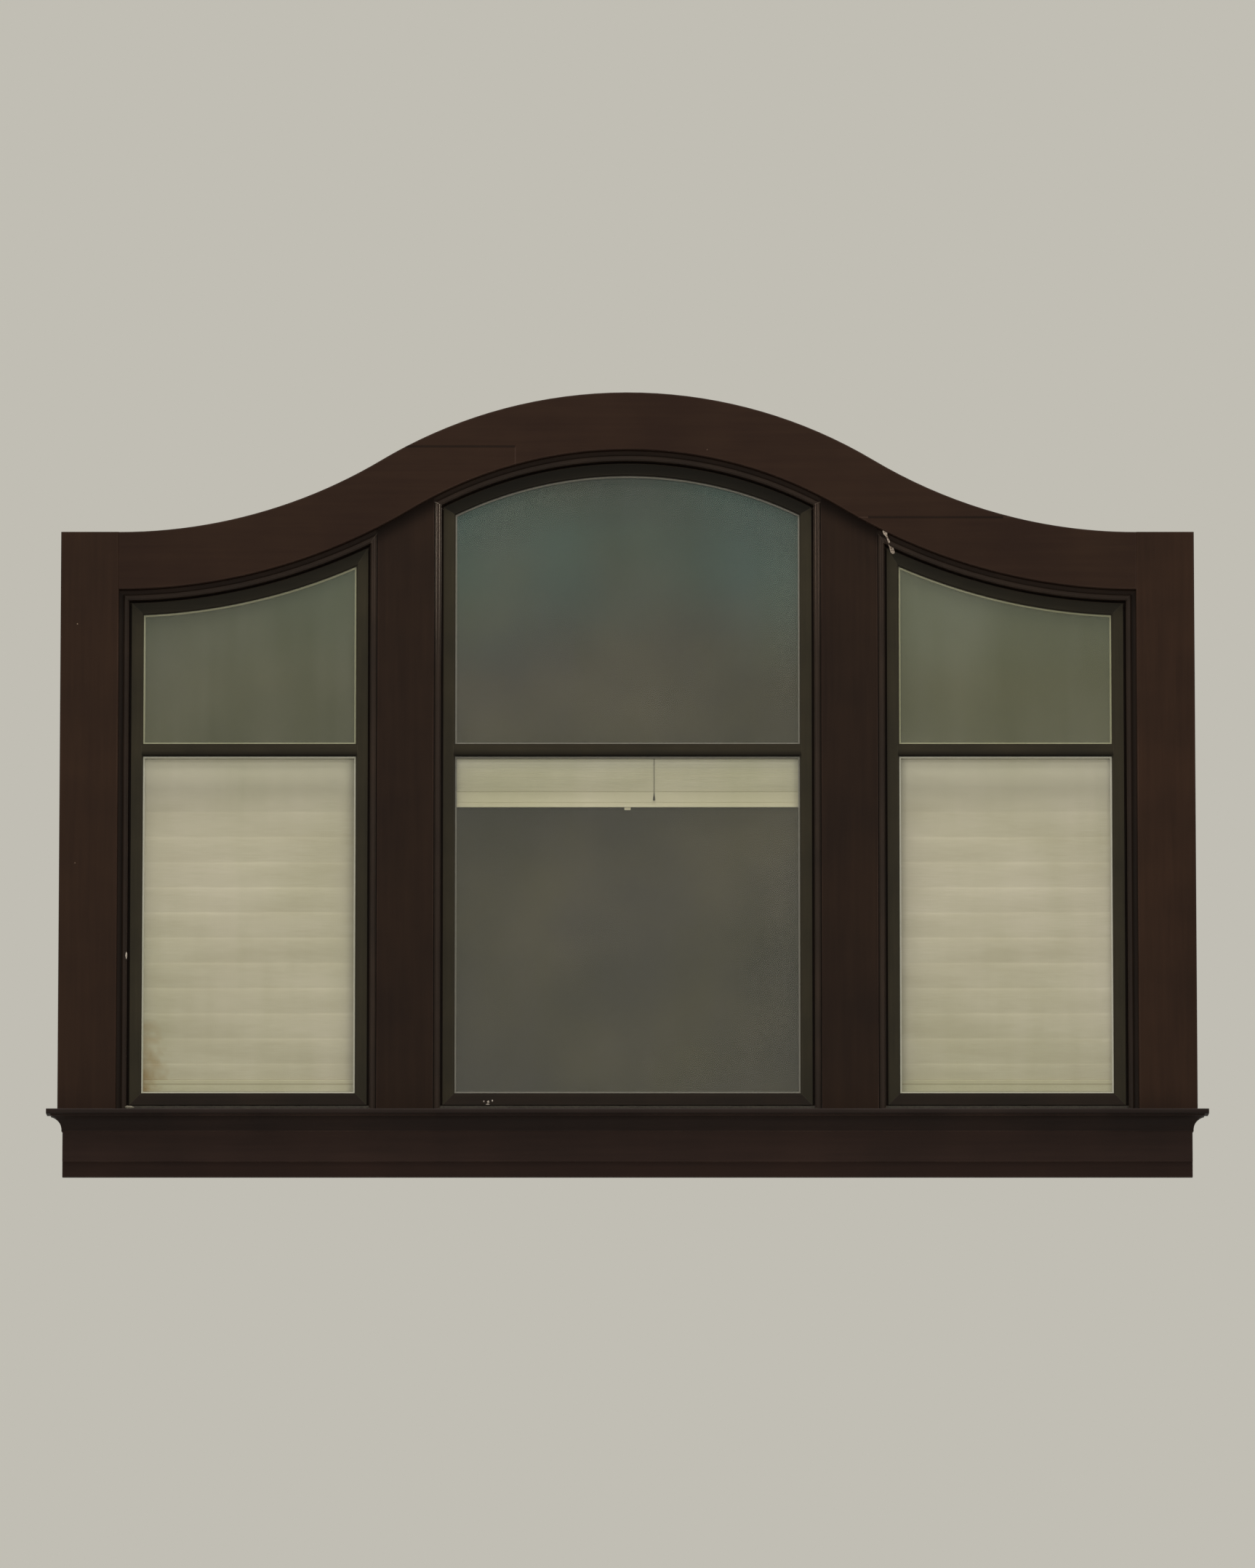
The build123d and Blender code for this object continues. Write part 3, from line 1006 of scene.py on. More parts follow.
@dataclass(frozen=True)
class CreamCoating:
    """Cream powder coating on extruded aluminium, for head rails and bottom rails.

    It gives the eye the cloth's own cream, a little smoother, with dust along its length.
    """

    name: str
    colour: str
    dusty: str
    stain: Stain | None = None
    # Height of a dark line across the rail: a painted shadow for the rail's upper edge.
    joint: float | None = None
    joint_width: float = 4 * MM
    edge_shadow_share: float = 0.8
    edge_shadow_colour: str = "#8c8465"
    # Dust lies in threads about 17 mm high, 60 to the metre.
    dust_threads: float = 60.0
    # Coating grit is 0.3 mm, and drawn at 4 mm so that it shows at this size.
    grit: float = 4 * MM

    def material(self) -> bpy.types.Material:
        """Build the node tree of the coating."""
        material, tree, place = new_material(self.name)
        along = add_node(tree, "Mapping", {"Vector": place, "Scale": Grain.LEVEL.value})
        dust = add_node(tree, "TexNoise", {"Vector": along, "Scale": self.dust_threads, "Detail": 4.0})
        peel = add_node(tree, "TexNoise", {"Vector": place, "Scale": 1 / self.grit, "Detail": 2.0})
        coats = [(dust, self.dusty)]
        # Painted shadow: a dark line across the rail.
        if self.joint is not None:
            up = add_node(tree, "SeparateXYZ", {"Vector": place}, "Z")
            above = add_node(tree, "Math", {0: up, 1: self.joint}, operation="SUBTRACT")
            apart = add_node(tree, "Math", {0: above}, operation="ABSOLUTE")
            limits = {"From Min": self.joint_width, "From Max": 0.0, "To Max": self.edge_shadow_share}
            coats.append((add_node(tree, "MapRange", {"Value": apart, **limits}), self.edge_shadow_colour))
        if self.stain is not None:
            coats.append(self.stain.coat(tree, place))
        relief = add_node(tree, "Bump", {"Strength": 0.15, "Distance": 0.2 * MM, "Height": peel})
        colour = lay_coats(tree, self.colour, coats)
        shader = add_node(
            tree,
            "BsdfPrincipled",
            {"Base Color": colour, "Roughness": 0.5, "Normal": relief, "IOR": 1.5},
        )
        add_node(tree, "OutputMaterial", {"Surface": shader})
        return material


@dataclass(frozen=True)
class BraidedNylon:
    """Braided nylon cord, 2 mm thick, greyed by handling.

    It gives the eye a thin dark thread against the cream cloth, with the braid's diamond relief.
    """

    name: str = "braided_nylon"
    colour: str = "#5d584b"
    shaded: str = "#3c382e"
    # One turn of the braid takes about 3 mm.
    braid_pitch: float = 3 * MM

    def material(self) -> bpy.types.Material:
        """Build the node tree of the braid."""
        material, tree, place = new_material(self.name)
        bands = {"Vector": place, "Scale": math.pi / 10 / self.braid_pitch, "Distortion": 1.0}
        braid = add_node(tree, "TexWave", bands, "Fac", bands_direction="DIAGONAL")
        relief = add_node(tree, "Bump", {"Strength": 0.5, "Distance": 0.3 * MM, "Height": braid})
        colour = lay_coats(tree, self.shaded, [(braid, self.colour)])
        shader = add_node(
            tree,
            "BsdfPrincipled",
            {"Base Color": colour, "Roughness": 0.7, "Normal": relief, "Sheen Weight": 0.2},
        )
        add_node(tree, "OutputMaterial", {"Surface": shader})
        return material


# Camera and studio

# Height of the window's middle, which the camera and the lamps face.
MIDDLE = 1.5


def aim(target: bpy.types.Object) -> None:
    """Turn a camera or lamp, once it is in its place, towards the middle of the window."""
    way = Vector((0.0, 0.0, MIDDLE)) - target.location
    target.rotation_euler = way.to_track_quat("-Z", "Y").to_euler()


@dataclass(frozen=True)
class PhotographCamera:
    """Camera far out in front of the window and low, looking up at it."""

    stand_off: float = 42.535
    below_foot: float = 4.371
    lens_mm: float = 260.0
    sensor_mm: float = 36.0
    sight: float = 500.0

    def place(self) -> None:
        """Make the camera and give it to the scene."""
        data = bpy.data.cameras.new("photograph_camera")
        data.lens, data.sensor_width, data.clip_end = self.lens_mm, self.sensor_mm, self.sight
        camera = add_object("photograph_camera", data)
        camera.location = (0.0, -self.stand_off, -self.below_foot)
        aim(camera)
        bpy.context.scene.camera = camera


@dataclass(frozen=True)
class SoftLamp:
    """Large square-edged soft box aimed at the middle of the window."""

    name: str
    place: Point
    width: float
    height: float
    power: float

    def build(self) -> None:
        """Make the lamp, unseen by the camera and by glass."""
        data = bpy.data.lights.new(self.name, "AREA")
        data.shape = "RECTANGLE"
        data.size, data.size_y, data.energy = self.width, self.height, self.power
        box = add_object(self.name, data)
        box.location = self.place
        aim(box)
        box.visible_camera = box.visible_glossy = box.visible_transmission = False


@dataclass(frozen=True)
class Studio:
    """Plain pale floor, pale surroundings and plain soft lamps."""

    # The camera stands on a floor well below the window and looks up from there.
    floor_height: float = -6.0
    floor_size: float = 420.0
    floor_colour: str = "#cfccc4"
    floor_mottle: str = "#cac7bf"
    background: str = "#c1beb4"
    ground_light: float = 0.2
    zenith_light: float = 0.62
    lamps: tuple[SoftLamp, ...] = (
        SoftLamp("overhead_soft_box", (-0.6, -3.4, 9.6), 7.0, 3.0, 820.0),
        SoftLamp("front_soft_box", (0.4, -9.8, 1.1), 7.0, 4.0, 470.0),
        SoftLamp("rear_soft_box", (0.0, 8.0, 7.0), 7.0, 4.0, 420.0),
    )

    def build(self) -> None:
        """Make the floor, the lamps and the world."""
        bpy.context.scene.view_settings.view_transform = "Standard"
        self._floor()
        self._world()
        for lamp in self.lamps:
            lamp.build()

    def _floor(self) -> None:
        """Make the wide pale floor."""
        material, tree, place = new_material("pale_floor")
        mottle = add_node(tree, "TexNoise", {"Vector": place, "Scale": 0.6, "Detail": 4.0})
        colour = lay_coats(tree, self.floor_colour, [(mottle, self.floor_mottle)])
        shader = add_node(tree, "BsdfPrincipled", {"Base Color": colour, "Roughness": 0.9})
        add_node(tree, "OutputMaterial", {"Surface": shader})
        half, z = self.floor_size / 2, self.floor_height
        corners = [(-half, -half, z), (half, -half, z), (half, half, z), (-half, half, z)]
        add_mesh("pale_floor", (corners, [[0, 1, 2, 3]]), material)

    def _world(self) -> None:
        """Make pale surroundings, which glass and metal mirror, over a soft even light."""
        world = bpy.data.worlds.new("pale_studio")
        bpy.context.scene.world = world
        world.use_nodes = True
        tree = world.node_tree
        tree.nodes.clear()
        way = add_node(tree, "TexCoord", {}, "Generated")
        upward = add_node(tree, "SeparateXYZ", {"Vector": way}, "Z")
        limits = {
            "From Min": -0.2,
            "From Max": 1.0,
            "To Min": self.ground_light,
            "To Max": self.zenith_light,
        }
        level = add_node(tree, "MapRange", {"Value": upward, **limits})
        even = add_node(tree, "Background", {"Color": (1.0, 1.0, 1.0, 1.0), "Strength": level})
        backdrop = add_node(tree, "Background", {"Color": self.background, "Strength": 1.0})
        seen = add_node(tree, "LightPath", {}, "Is Camera Ray")
        rays = seen.node.outputs
        for ray in ("Is Glossy Ray", "Is Transmission Ray"):
            seen = add_node(tree, "Math", {0: seen, 1: rays[ray]}, operation="MAXIMUM")
        mixed = add_node(tree, "MixShader", {0: seen, 1: even, 2: backdrop})
        add_node(tree, "OutputWorld", {"Surface": mixed})


# Pieces


@dataclass
class Builder:
    """Keeps each finish's material and settles every new piece on the window."""

    made: dict[Any, bpy.types.Material] = field(default_factory=dict)

    def material(self, finish: Any) -> bpy.types.Material:
        """Material of a finish, made once.

        Args:
            finish: One of the finish classes above.

        Returns:
            Its material.
        """
        if finish not in self.made:
            self.made[finish] = finish.material()
        return self.made[finish]

    def dress(self, node: str, finish: Any) -> None:
        """Give a CAD node its finish.

        Args:
            node: Name of the node.
            finish: One of the finish classes above.
        """
        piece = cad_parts[node]
        if not piece.material_slots:
            piece.data.materials.append(None)
        for slot in piece.material_slots:
            slot.material = self.material(finish)
        log.info("%s wears %s", node, finish.name)

    def settle(self, piece: bpy.types.Object, slot: str, solid: str | None = None) -> bpy.types.Object:
        """Fix a new piece to the window.

        Args:
            piece: The piece.
            slot: Record's slot that its finish comes from; not used.
            solid: CAD node that it takes the place of.

        Returns:
            The same piece.
        """
        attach(piece, "window")
        if solid is not None:
            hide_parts(solid)
        log.info("%s rides on the window", piece.name)
        return piece

    def add(
        self, name: str, mesh: Mesh, finish: Any, slot: str, smooth: bool = False, solid: str | None = None
    ) -> bpy.types.Object:
        """Make a piece from its mesh and fix it to the window.

        Args:
            name: Name of the piece.
            mesh: Its vertices and faces.
            finish: One of the finish classes above.
            slot: Record's slot that its finish comes from.
            smooth: Whether the faces are shaded smooth.
            solid: CAD node that it takes the place of.

        Returns:
            The new piece.
        """
        return self.settle(add_mesh(name, mesh, self.material(finish), smooth), slot, solid)


@dataclass
class PullCord:
    """Short pull cord of the centre shade: an eyelet under the head rail, the braid and a turned knob."""

    builder: Builder
    exit: Point = (101 * MM, 77 * MM, 1607 * MM)
    length: float = 132 * MM
    diameter: float = 2 * MM
    knob_length: float = 28 * MM
    knob_radius: float = 4.5 * MM
    # Outline of the bell-shaped knob from its top, in shares of its radius and its length.
    bell: tuple[tuple[float, float], ...] = (
        (0.0, 0.0),
        (0.34, -0.01),
        (0.46, -0.06),
        (0.50, -0.14),
        (0.44, -0.22),
        (0.62, -0.36),
        (0.86, -0.56),
        (0.98, -0.76),
        (1.00, -0.90),
        (0.94, -0.97),
        (0.80, -1.00),
        (0.0, -0.97),
    )
    rim: tuple[tuple[float, float], ...] = (
        (0.0, 0.0),
        (3.6 * MM, 0.0),
        (3.8 * MM, -0.6 * MM),
        (3.4 * MM, -1.4 * MM),
        (2.2 * MM, -2.6 * MM),
        (1.4 * MM, -3.2 * MM),
        (0.0, -3.2 * MM),
    )

    def build(self) -> None:
        x, y, z = self.exit
        bell = [(radius * self.knob_radius, height * self.knob_length) for radius, height in self.bell]
        dark = MouldedPlastic("moulded_abs_knob", "#2d2a22", "#4a463b")
        knob_mesh = turned(bell, (x, y, z - self.length), 24)
        knob = self.builder.add("centre_pull_knob", knob_mesh, dark, "knob", True, "centre_cord_knob")
        grey = MouldedPlastic("moulded_abs_eyelet", "#8a8571", "#a09b86")
        eyelet = self.builder.add("centre_cord_eyelet", turned(self.rim, self.exit, 20), grey, "knob", True)
        self._braid()

    def _braid(self) -> bpy.types.Object:
        """Run the cord's smooth line straight down from its eyelet."""
        x, y, z = self.exit
        foot = z - self.length
        route = [
            (x, y, z),
            (x, y, z - 20 * MM),
            (x + 0.4 * MM, y, z - 60 * MM),
            (x + 0.3 * MM, y, foot + 25 * MM),
            (x, y, foot),
        ]
        curve = bpy.data.curves.new("centre_pull_cord", "CURVE")
        curve.dimensions = "3D"
        curve.bevel_depth = self.diameter / 2
        curve.bevel_resolution = 4
        curve.use_fill_caps = True
        line = curve.splines.new("NURBS")
        line.points.add(len(route) - 1)
        for point, place in zip(line.points, route):
            point.co = (*place, 1.0)
        line.order_u = 3
        line.use_endpoint_u = True
        line.resolution_u = 8
        curve.materials.append(self.builder.material(BraidedNylon()))
        return self.builder.settle(add_object("centre_pull_cord", curve), "cord", "centre_shade_cord")


@dataclass
class Casing:
    """Boards round the three lights, with sill, bed moulding and apron."""

    builder: Builder
    left_joint: JointLine = JointLine(-0.844, -0.427, 2.790)
    right_joint: JointLine = JointLine(0.914, 1.428, 2.517)
    ogee: Ogee = Ogee()
    head_margin: float = 94 * MM
    mullion_inner: float = 736 * MM
    mullion_outer: float = 949 * MM

    def build(self) -> None:
        """Give each board its paint."""
        head = ("#241812", "#2b1e16", Grain.LEVEL)
        mullion = ("#1e1510", "#261b14", Grain.UPRIGHT)
        post = ("#3a3029", "#4a3e35", Grain.UPRIGHT)
        boards = {
            "left_jamb_casing": ("left_jamb", "#261a13", "#2e2017", Grain.UPRIGHT),
            "right_jamb_casing": ("right_jamb", "#251912", "#2f2017", Grain.UPRIGHT),
            "head_left_board": ("left_flank", *head),
            "head_crown_board": ("crown", *head),
            "head_right_board": ("right_flank", *head),
            "left_mullion_casing": ("left_mullion", *mullion),
            "right_mullion_casing": ("right_mullion", *mullion),
            "left_mullion_post": ("left_post", *post),
            "right_mullion_post": ("right_post", *post),
            "sill_board": ("sill", "#1f1815", "#28201c", Grain.LEVEL),
            "bed_mould": ("bed_mould", "#1b1411", "#231a16", Grain.LEVEL),
            "apron_board": ("apron", "#231915", "#2b1f1a", Grain.LEVEL),
            "apron_fillet": ("apron_fillet", "#1f1511", "#261a15", Grain.LEVEL),
        }
        for node, (label, colour, second, grain) in boards.items():
            wood = "primed_pine" if node.endswith("post") else "painted_cedar"
            finish = PaintedCedar(f"{wood}_{label}", colour, second, grain)
            if node.startswith("head"):
                finish = replace(finish, joints=(self.left_joint, self.right_joint))
            elif node.endswith("mullion_casing"):
                # Painted shadow under the head board on each mullion casing.
                finish = replace(finish, shelter=self._head_shadow_edge(-1 if node.startswith("left") else 1))
            self.builder.dress(node, finish)

    def _head_shadow_edge(self, side: int) -> Shelter:
        """Lower edge of the head board above one mullion.

        Args:
            side: -1 for the left mullion, 1 for the right one.

        Returns:
            The edge as a straight run.
        """
        ends = sorted((side * self.mullion_inner, side * self.mullion_outer))
        return Shelter(*ends, *(self.ogee.height(x, self.head_margin) for x in ends))


@dataclass
class FramesAndSashes:
    """Three frames with their nosing beads and the sash fixed in each."""

    builder: Builder
    frame_colour: tuple[str, str] = ("#221a15", "#2c221b")
    # Painted shade: the outer jambs, beside the deep side casings, are drawn darker.
    shaded_outer_colour: tuple[str, str] = ("#1f1813", "#271e18")
    sash_colour: tuple[str, str] = ("#242017", "#2d281d")
    foot_colour: tuple[str, str] = ("#1c1611", "#251d17")
    # Painted shade: the top rails are drawn darker, the centre one most, for the shadow of the head casing.
    shaded_top_colour: tuple[str, str] = ("#1b1811", "#221e16")
    shaded_centre_top_colour: tuple[str, str] = ("#14110c", "#191610")
    # Height of the bar's lower arris, where its painted shadow is darkest.
    bar_shadow_height: float = 1610 * MM
    # Height from which the beads beside the mullions get a painted highlight.
    highlight_height: float = 1.9

    def build(self) -> None:
        """Give each member its enamel, brushed along its length."""
        uprights = ("frame_left_jamb", "frame_right_jamb", "sash_left_stile", "sash_right_stile")
        levels = ("frame_head", "frame_sill", "sash_top_rail", "sash_bottom_rail", "sash_bar")
        for light in Light:
            for member in uprights + levels:
                grain = Grain.UPRIGHT if member in uprights else Grain.LEVEL
                self.builder.dress(f"{light.title}_{member}", self._finish(light, member, grain))

    def _finish(self, light: Light, member: str, grain: Grain) -> BakedEnamel:
        """Choose the enamel of one member.

        Args:
            light: Light that it belongs to.
            member: Its name within the light.
            grain: Way that it runs.

        Returns:
            The enamel.
        """
        node = f"{light.title}_{member}"
        # Painted highlight on the nosing beads beside the mullions, paler higher up.
        painted_highlight = {
            "centre_frame_left_jamb": "#b8a998",
            "left_frame_right_jamb": "#4f453c",
            "centre_frame_right_jamb": "#887566",
            "right_frame_left_jamb": "#4d4137",
        }
        if node in painted_highlight:
            return BakedEnamel(
                f"baked_enamel_{node}",
                *self.frame_colour,
                grain,
                wear=0.9,
                edge_radius=2.4 * MM,
                highlight_height=self.highlight_height,
                highlight_colour=painted_highlight[node],
            )
        # Painted shade on the outer jambs.
        if node in ("left_frame_left_jamb", "right_frame_right_jamb"):
            name = "baked_enamel_frame_outer_jamb"
            return BakedEnamel(name, *self.shaded_outer_colour, grain, worn="#17120d", wear=0.8)
        if member == "sash_bar":
            return BakedEnamel("baked_enamel_bar", *self.sash_colour, grain, drip=self.bar_shadow_height)
        if member == "sash_bottom_rail":
            return BakedEnamel("baked_enamel_sash_foot", *self.foot_colour, grain)
        if member == "sash_top_rail" and light is Light.CENTRE:
            return BakedEnamel("baked_enamel_sash_centre_top", *self.shaded_centre_top_colour, grain)
        if member == "sash_top_rail":
            return BakedEnamel("baked_enamel_sash_top", *self.shaded_top_colour, grain)
        part = member.split("_")[0]
        colours = self.frame_colour if part == "frame" else self.sash_colour
        return BakedEnamel(f"baked_enamel_{part}_{grain.name.lower()}", *colours, grain)


@dataclass
class SealedUnits:
    """Six sealed glass units, each two panes with a spacer, and the smoked pane on the room side."""

    builder: Builder
    openings: Openings = Openings()
    bite: float = 12 * MM
    front: float = 14 * MM
    thickness: float = 25.3 * MM
    pane: float = 5 * MM
    sight: float = 6 * MM
    room_side: float = 120 * MM
    room_pane: float = 4 * MM
    room_margin: float = 54.4 * MM
    bead: float = 10 * MM
    bead_depth: float = 5.5 * MM
    gap: float = 0.05 * MM

    def build(self) -> None:
        """Make all panes and spacers."""
        clear = FloatGlass("clear_float_glass", "#fbfbf8", "#f4f5ee", 0.996)
        upper = {
            Light.LEFT: FloatGlass("dusty_float_glass", "#dadac8", "#c4c6ae", 0.962),
            Light.CENTRE: clear,
            Light.RIGHT: FloatGlass("dustier_float_glass", "#d9d9c5", "#c8c9af", 0.955),
        }
        for light in Light:
            self._unit(light, "lower", self.openings.glass_foot, self.openings.bar_foot, clear)
            self._unit(light, "upper", self.openings.bar_head, None, upper[light])
            self._room_side(light)

    def _unit(self, light: Light, part: str, low: float, high: float | None, finish: FloatGlass) -> None:
        """Make one sealed unit.

        Args:
            light: Light that it sits in.
            part: "upper" or "lower".
            low: Height of the lower edge of the glass in sight.
            high: Height of the upper edge, or None for the curved head.
            finish: Glass of both panes.
        """
        title = f"{light.title}_{part}"
        back = self.front + self.thickness
        top, inner_top = (None, None) if high is None else (high + self.bite, high - self.sight)
        outer = self.openings.outline(light, self.bite, low - self.bite, top)
        inner = self.openings.outline(light, -self.sight, low + self.sight, inner_top)
        panes = joined(slab(outer, self.front, self.front + self.pane), slab(outer, back - self.pane, back))
        self.builder.add(f"{title}_panes", panes, finish, "glass", solid=f"{title}_glass")
        # Painted light and shade: one spacer metal is drawn pale in the side lights and dull in the centre
        # light.
        strip = MillAluminium("lit_mill_aluminium", "#e9e5d6", "#cbc7b7")
        if light is Light.CENTRE:
            strip = MillAluminium("mill_aluminium", "#98948a", "#747067")
        spacer = hoop(outer, inner, self.front + self.pane + self.gap, back - self.pane - self.gap)
        self.builder.add(f"{title}_spacer", spacer, strip, "glass")

    def _room_side(self, light: Light) -> None:
        """Give the inner pane of one light its dark tint, painted shade for the unlit room, and make its
        bead.

        Args:
            light: The light.
        """
        self.builder.dress(f"{light.title}_room_pane", RoomShadeGlass())
        low = self.openings.glass_foot - self.room_margin
        outer = self.openings.outline(light, self.room_margin, low, None)
        inner = self.openings.outline(light, self.room_margin - self.bead, low + self.bead, None)
        back = self.room_side + self.room_pane
        enamel = BakedEnamel("baked_enamel_bead", "#2b2820", "#37332a", Grain.LEVEL)
        bead = hoop(outer, inner, back + self.gap, back + self.bead_depth)
        self.builder.add(f"{light.title}_room_bead", bead, enamel, "frame_paint")


@dataclass(frozen=True)
class Spot:
    """Small lump or splash that has dried on a face."""

    name: str
    place: Point
    width: float
    height: float
    depth: float


@dataclass
class Sealing:
    """Sealant along the foot of each light, with the lumps, splashes and torn strip left on the frames."""

    builder: Builder
    bead_face: float = -24 * MM
    strip_overhang: float = 55 * MM
    strip_step: float = 9 * MM
    strip_foot: float = 258.2 * MM
    strip_head: float = 270.5 * MM
    strip_depth: float = 4.2 * MM
    spots: tuple[Spot, ...] = (
        Spot("left_corner_lump", (-1.882, -26.0 * MM, 0.265), 34 * MM, 11 * MM, 5 * MM),
        Spot("left_jamb_splash", (-1.896, -24.0 * MM, 0.842), 7 * MM, 26 * MM, 1.6 * MM),
        Spot("centre_rail_splash_1", (-0.5265, 4.0 * MM, 0.2885), 9 * MM, 10 * MM, 2.4 * MM),
        Spot("centre_rail_splash_2", (-0.5105, 4.0 * MM, 0.2925), 6 * MM, 8 * MM, 1.8 * MM),
        Spot("centre_rail_splash_3", (-0.5430, 4.0 * MM, 0.2900), 5 * MM, 7 * MM, 1.4 * MM),
        Spot("centre_rail_splash_4", (-0.5280, 4.0 * MM, 0.2795), 14 * MM, 4 * MM, 1.2 * MM),
    )
    spot_rings: int = 5
    spot_sides: int = 16
    # Line of the torn strip and its width, from where it hangs loose to where it still sticks.
    tear: tuple[tuple[float, float, float, float], ...] = (
        (0.9745, -38.0 * MM, 2.4735, 9.0 * MM),
        (0.9775, -33.0 * MM, 2.4670, 16.0 * MM),
        (0.9805, -28.0 * MM, 2.4580, 15.0 * MM),
        (0.9850, -26.5 * MM, 2.4480, 7.0 * MM),
        (0.9895, -26.5 * MM, 2.4360, 6.0 * MM),
        (0.9940, -25.5 * MM, 2.4260, 7.0 * MM),
        (0.9985, -17.0 * MM, 2.4140, 10.0 * MM),
        (1.0035, -7.0 * MM, 2.4030, 14.0 * MM),
        (1.0080, 1.0 * MM, 2.3930, 16.0 * MM),
        (1.0125, 2.0 * MM, 2.3850, 10.0 * MM),
    )
    tear_thickness: float = 2.8 * MM
    tear_sides: int = 8

    def build(self) -> None:
        """Make the strips, the spots and the torn strip."""
        for light in Light:
            painted = Sealant("painted_sealant", "#2f2a22", "#221d18")
            self.builder.add(f"{light.title}_sill_sealant", self._strip(light), painted, "frame_paint", True)
        pale = Sealant("dried_splash", "#b0a496", "#7d7367")
        bare = Sealant("bare_sealant", "#7c7564", "#5b5548")
        for spot in self.spots:
            finish = bare if "lump" in spot.name else pale
            self.builder.add(spot.name, self._lump(spot), finish, "casing_paint", True)
        torn = Sealant("torn_sealant", "#b5a695", "#6a5b4e")
        self.builder.add("right_torn_sealant", self._torn_strip(), torn, "casing_paint", True)

    def _strip(self, light: Light) -> Mesh:
        """Lay the tooled strip where the frame's nosing meets the sill board.

        Args:
            light: The light.

        Returns:
            Vertices and faces of the strip.
        """
        start, end = light.left - self.strip_overhang, light.right + self.strip_overhang
        count = round((end - start) / self.strip_step)
        face, foot = self.bead_face, self.strip_foot
        rings = []
        for i in range(count + 1):
            x = start + (end - start) * i / count
            # The bead swells about every 90 mm under the finger, and puckers about every 17 mm.
            swell = 0.75 + 0.7 * noise.noise((x * 11.0, 3.0, 7.0)) + 0.3 * noise.noise((x * 60.0, 1.0, 2.0))
            deep = self.strip_depth * max(0.3, swell)
            head = self.strip_head - 1.2 * MM * max(0.0, noise.noise((x * 23.0, 9.0, 4.0)))
            section = [
                (face, foot),
                (face - deep * 1.2, foot),
                (face - deep, foot + 3.4 * MM),
                (face - deep * 0.6, foot + 7.4 * MM),
                (face - deep * 0.2, head - 1 * MM),
                (face, head),
            ]
            rings.append([(x, y, z) for y, z in section])
        return lofted(rings)

    def _lump(self, spot: Spot) -> Mesh:
        """Shape one uneven lump on a face that looks outward.

        Args:
            spot: Place and size.

        Returns:
            Vertices and faces of the lump.
        """
        x, y, z = spot.place
        rings: list[list[Point]] = [[(x, y - spot.depth, z)]]
        for ring in range(1, self.spot_rings + 1):
            slope = math.pi / 2 * ring / self.spot_rings
            points = []
            for a in turns(self.spot_sides):
                rough = 1 + 0.35 * noise.noise((math.cos(a) * 1.7 + x * 50, math.sin(a) * 1.7, z * 50))
                reach = math.sin(slope) * rough / 2
                off, up = spot.width * reach * math.cos(a), spot.height * reach * math.sin(a)
                points.append((x + off, y - spot.depth * math.cos(slope), z + up))
            rings.append(points)
        return lofted(rings[::-1])

    def _torn_strip(self) -> Mesh:
        """Hang the torn end of an old sealant strip in the right light's upper left corner."""
        rings = []
        for i, (x, y, z, width) in enumerate(self.tear):
            points = []
            for a in turns(self.tear_sides):
                rough = 1 + 0.3 * noise.noise((i * 0.9, math.cos(a) * 2, math.sin(a) * 2))
                along, out = width / 2 * rough * math.cos(a), self.tear_thickness / 2 * rough * math.sin(a)
                points.append((x + along, y - out, z + along / 2))
            rings.append(points)
        return lofted(rings)


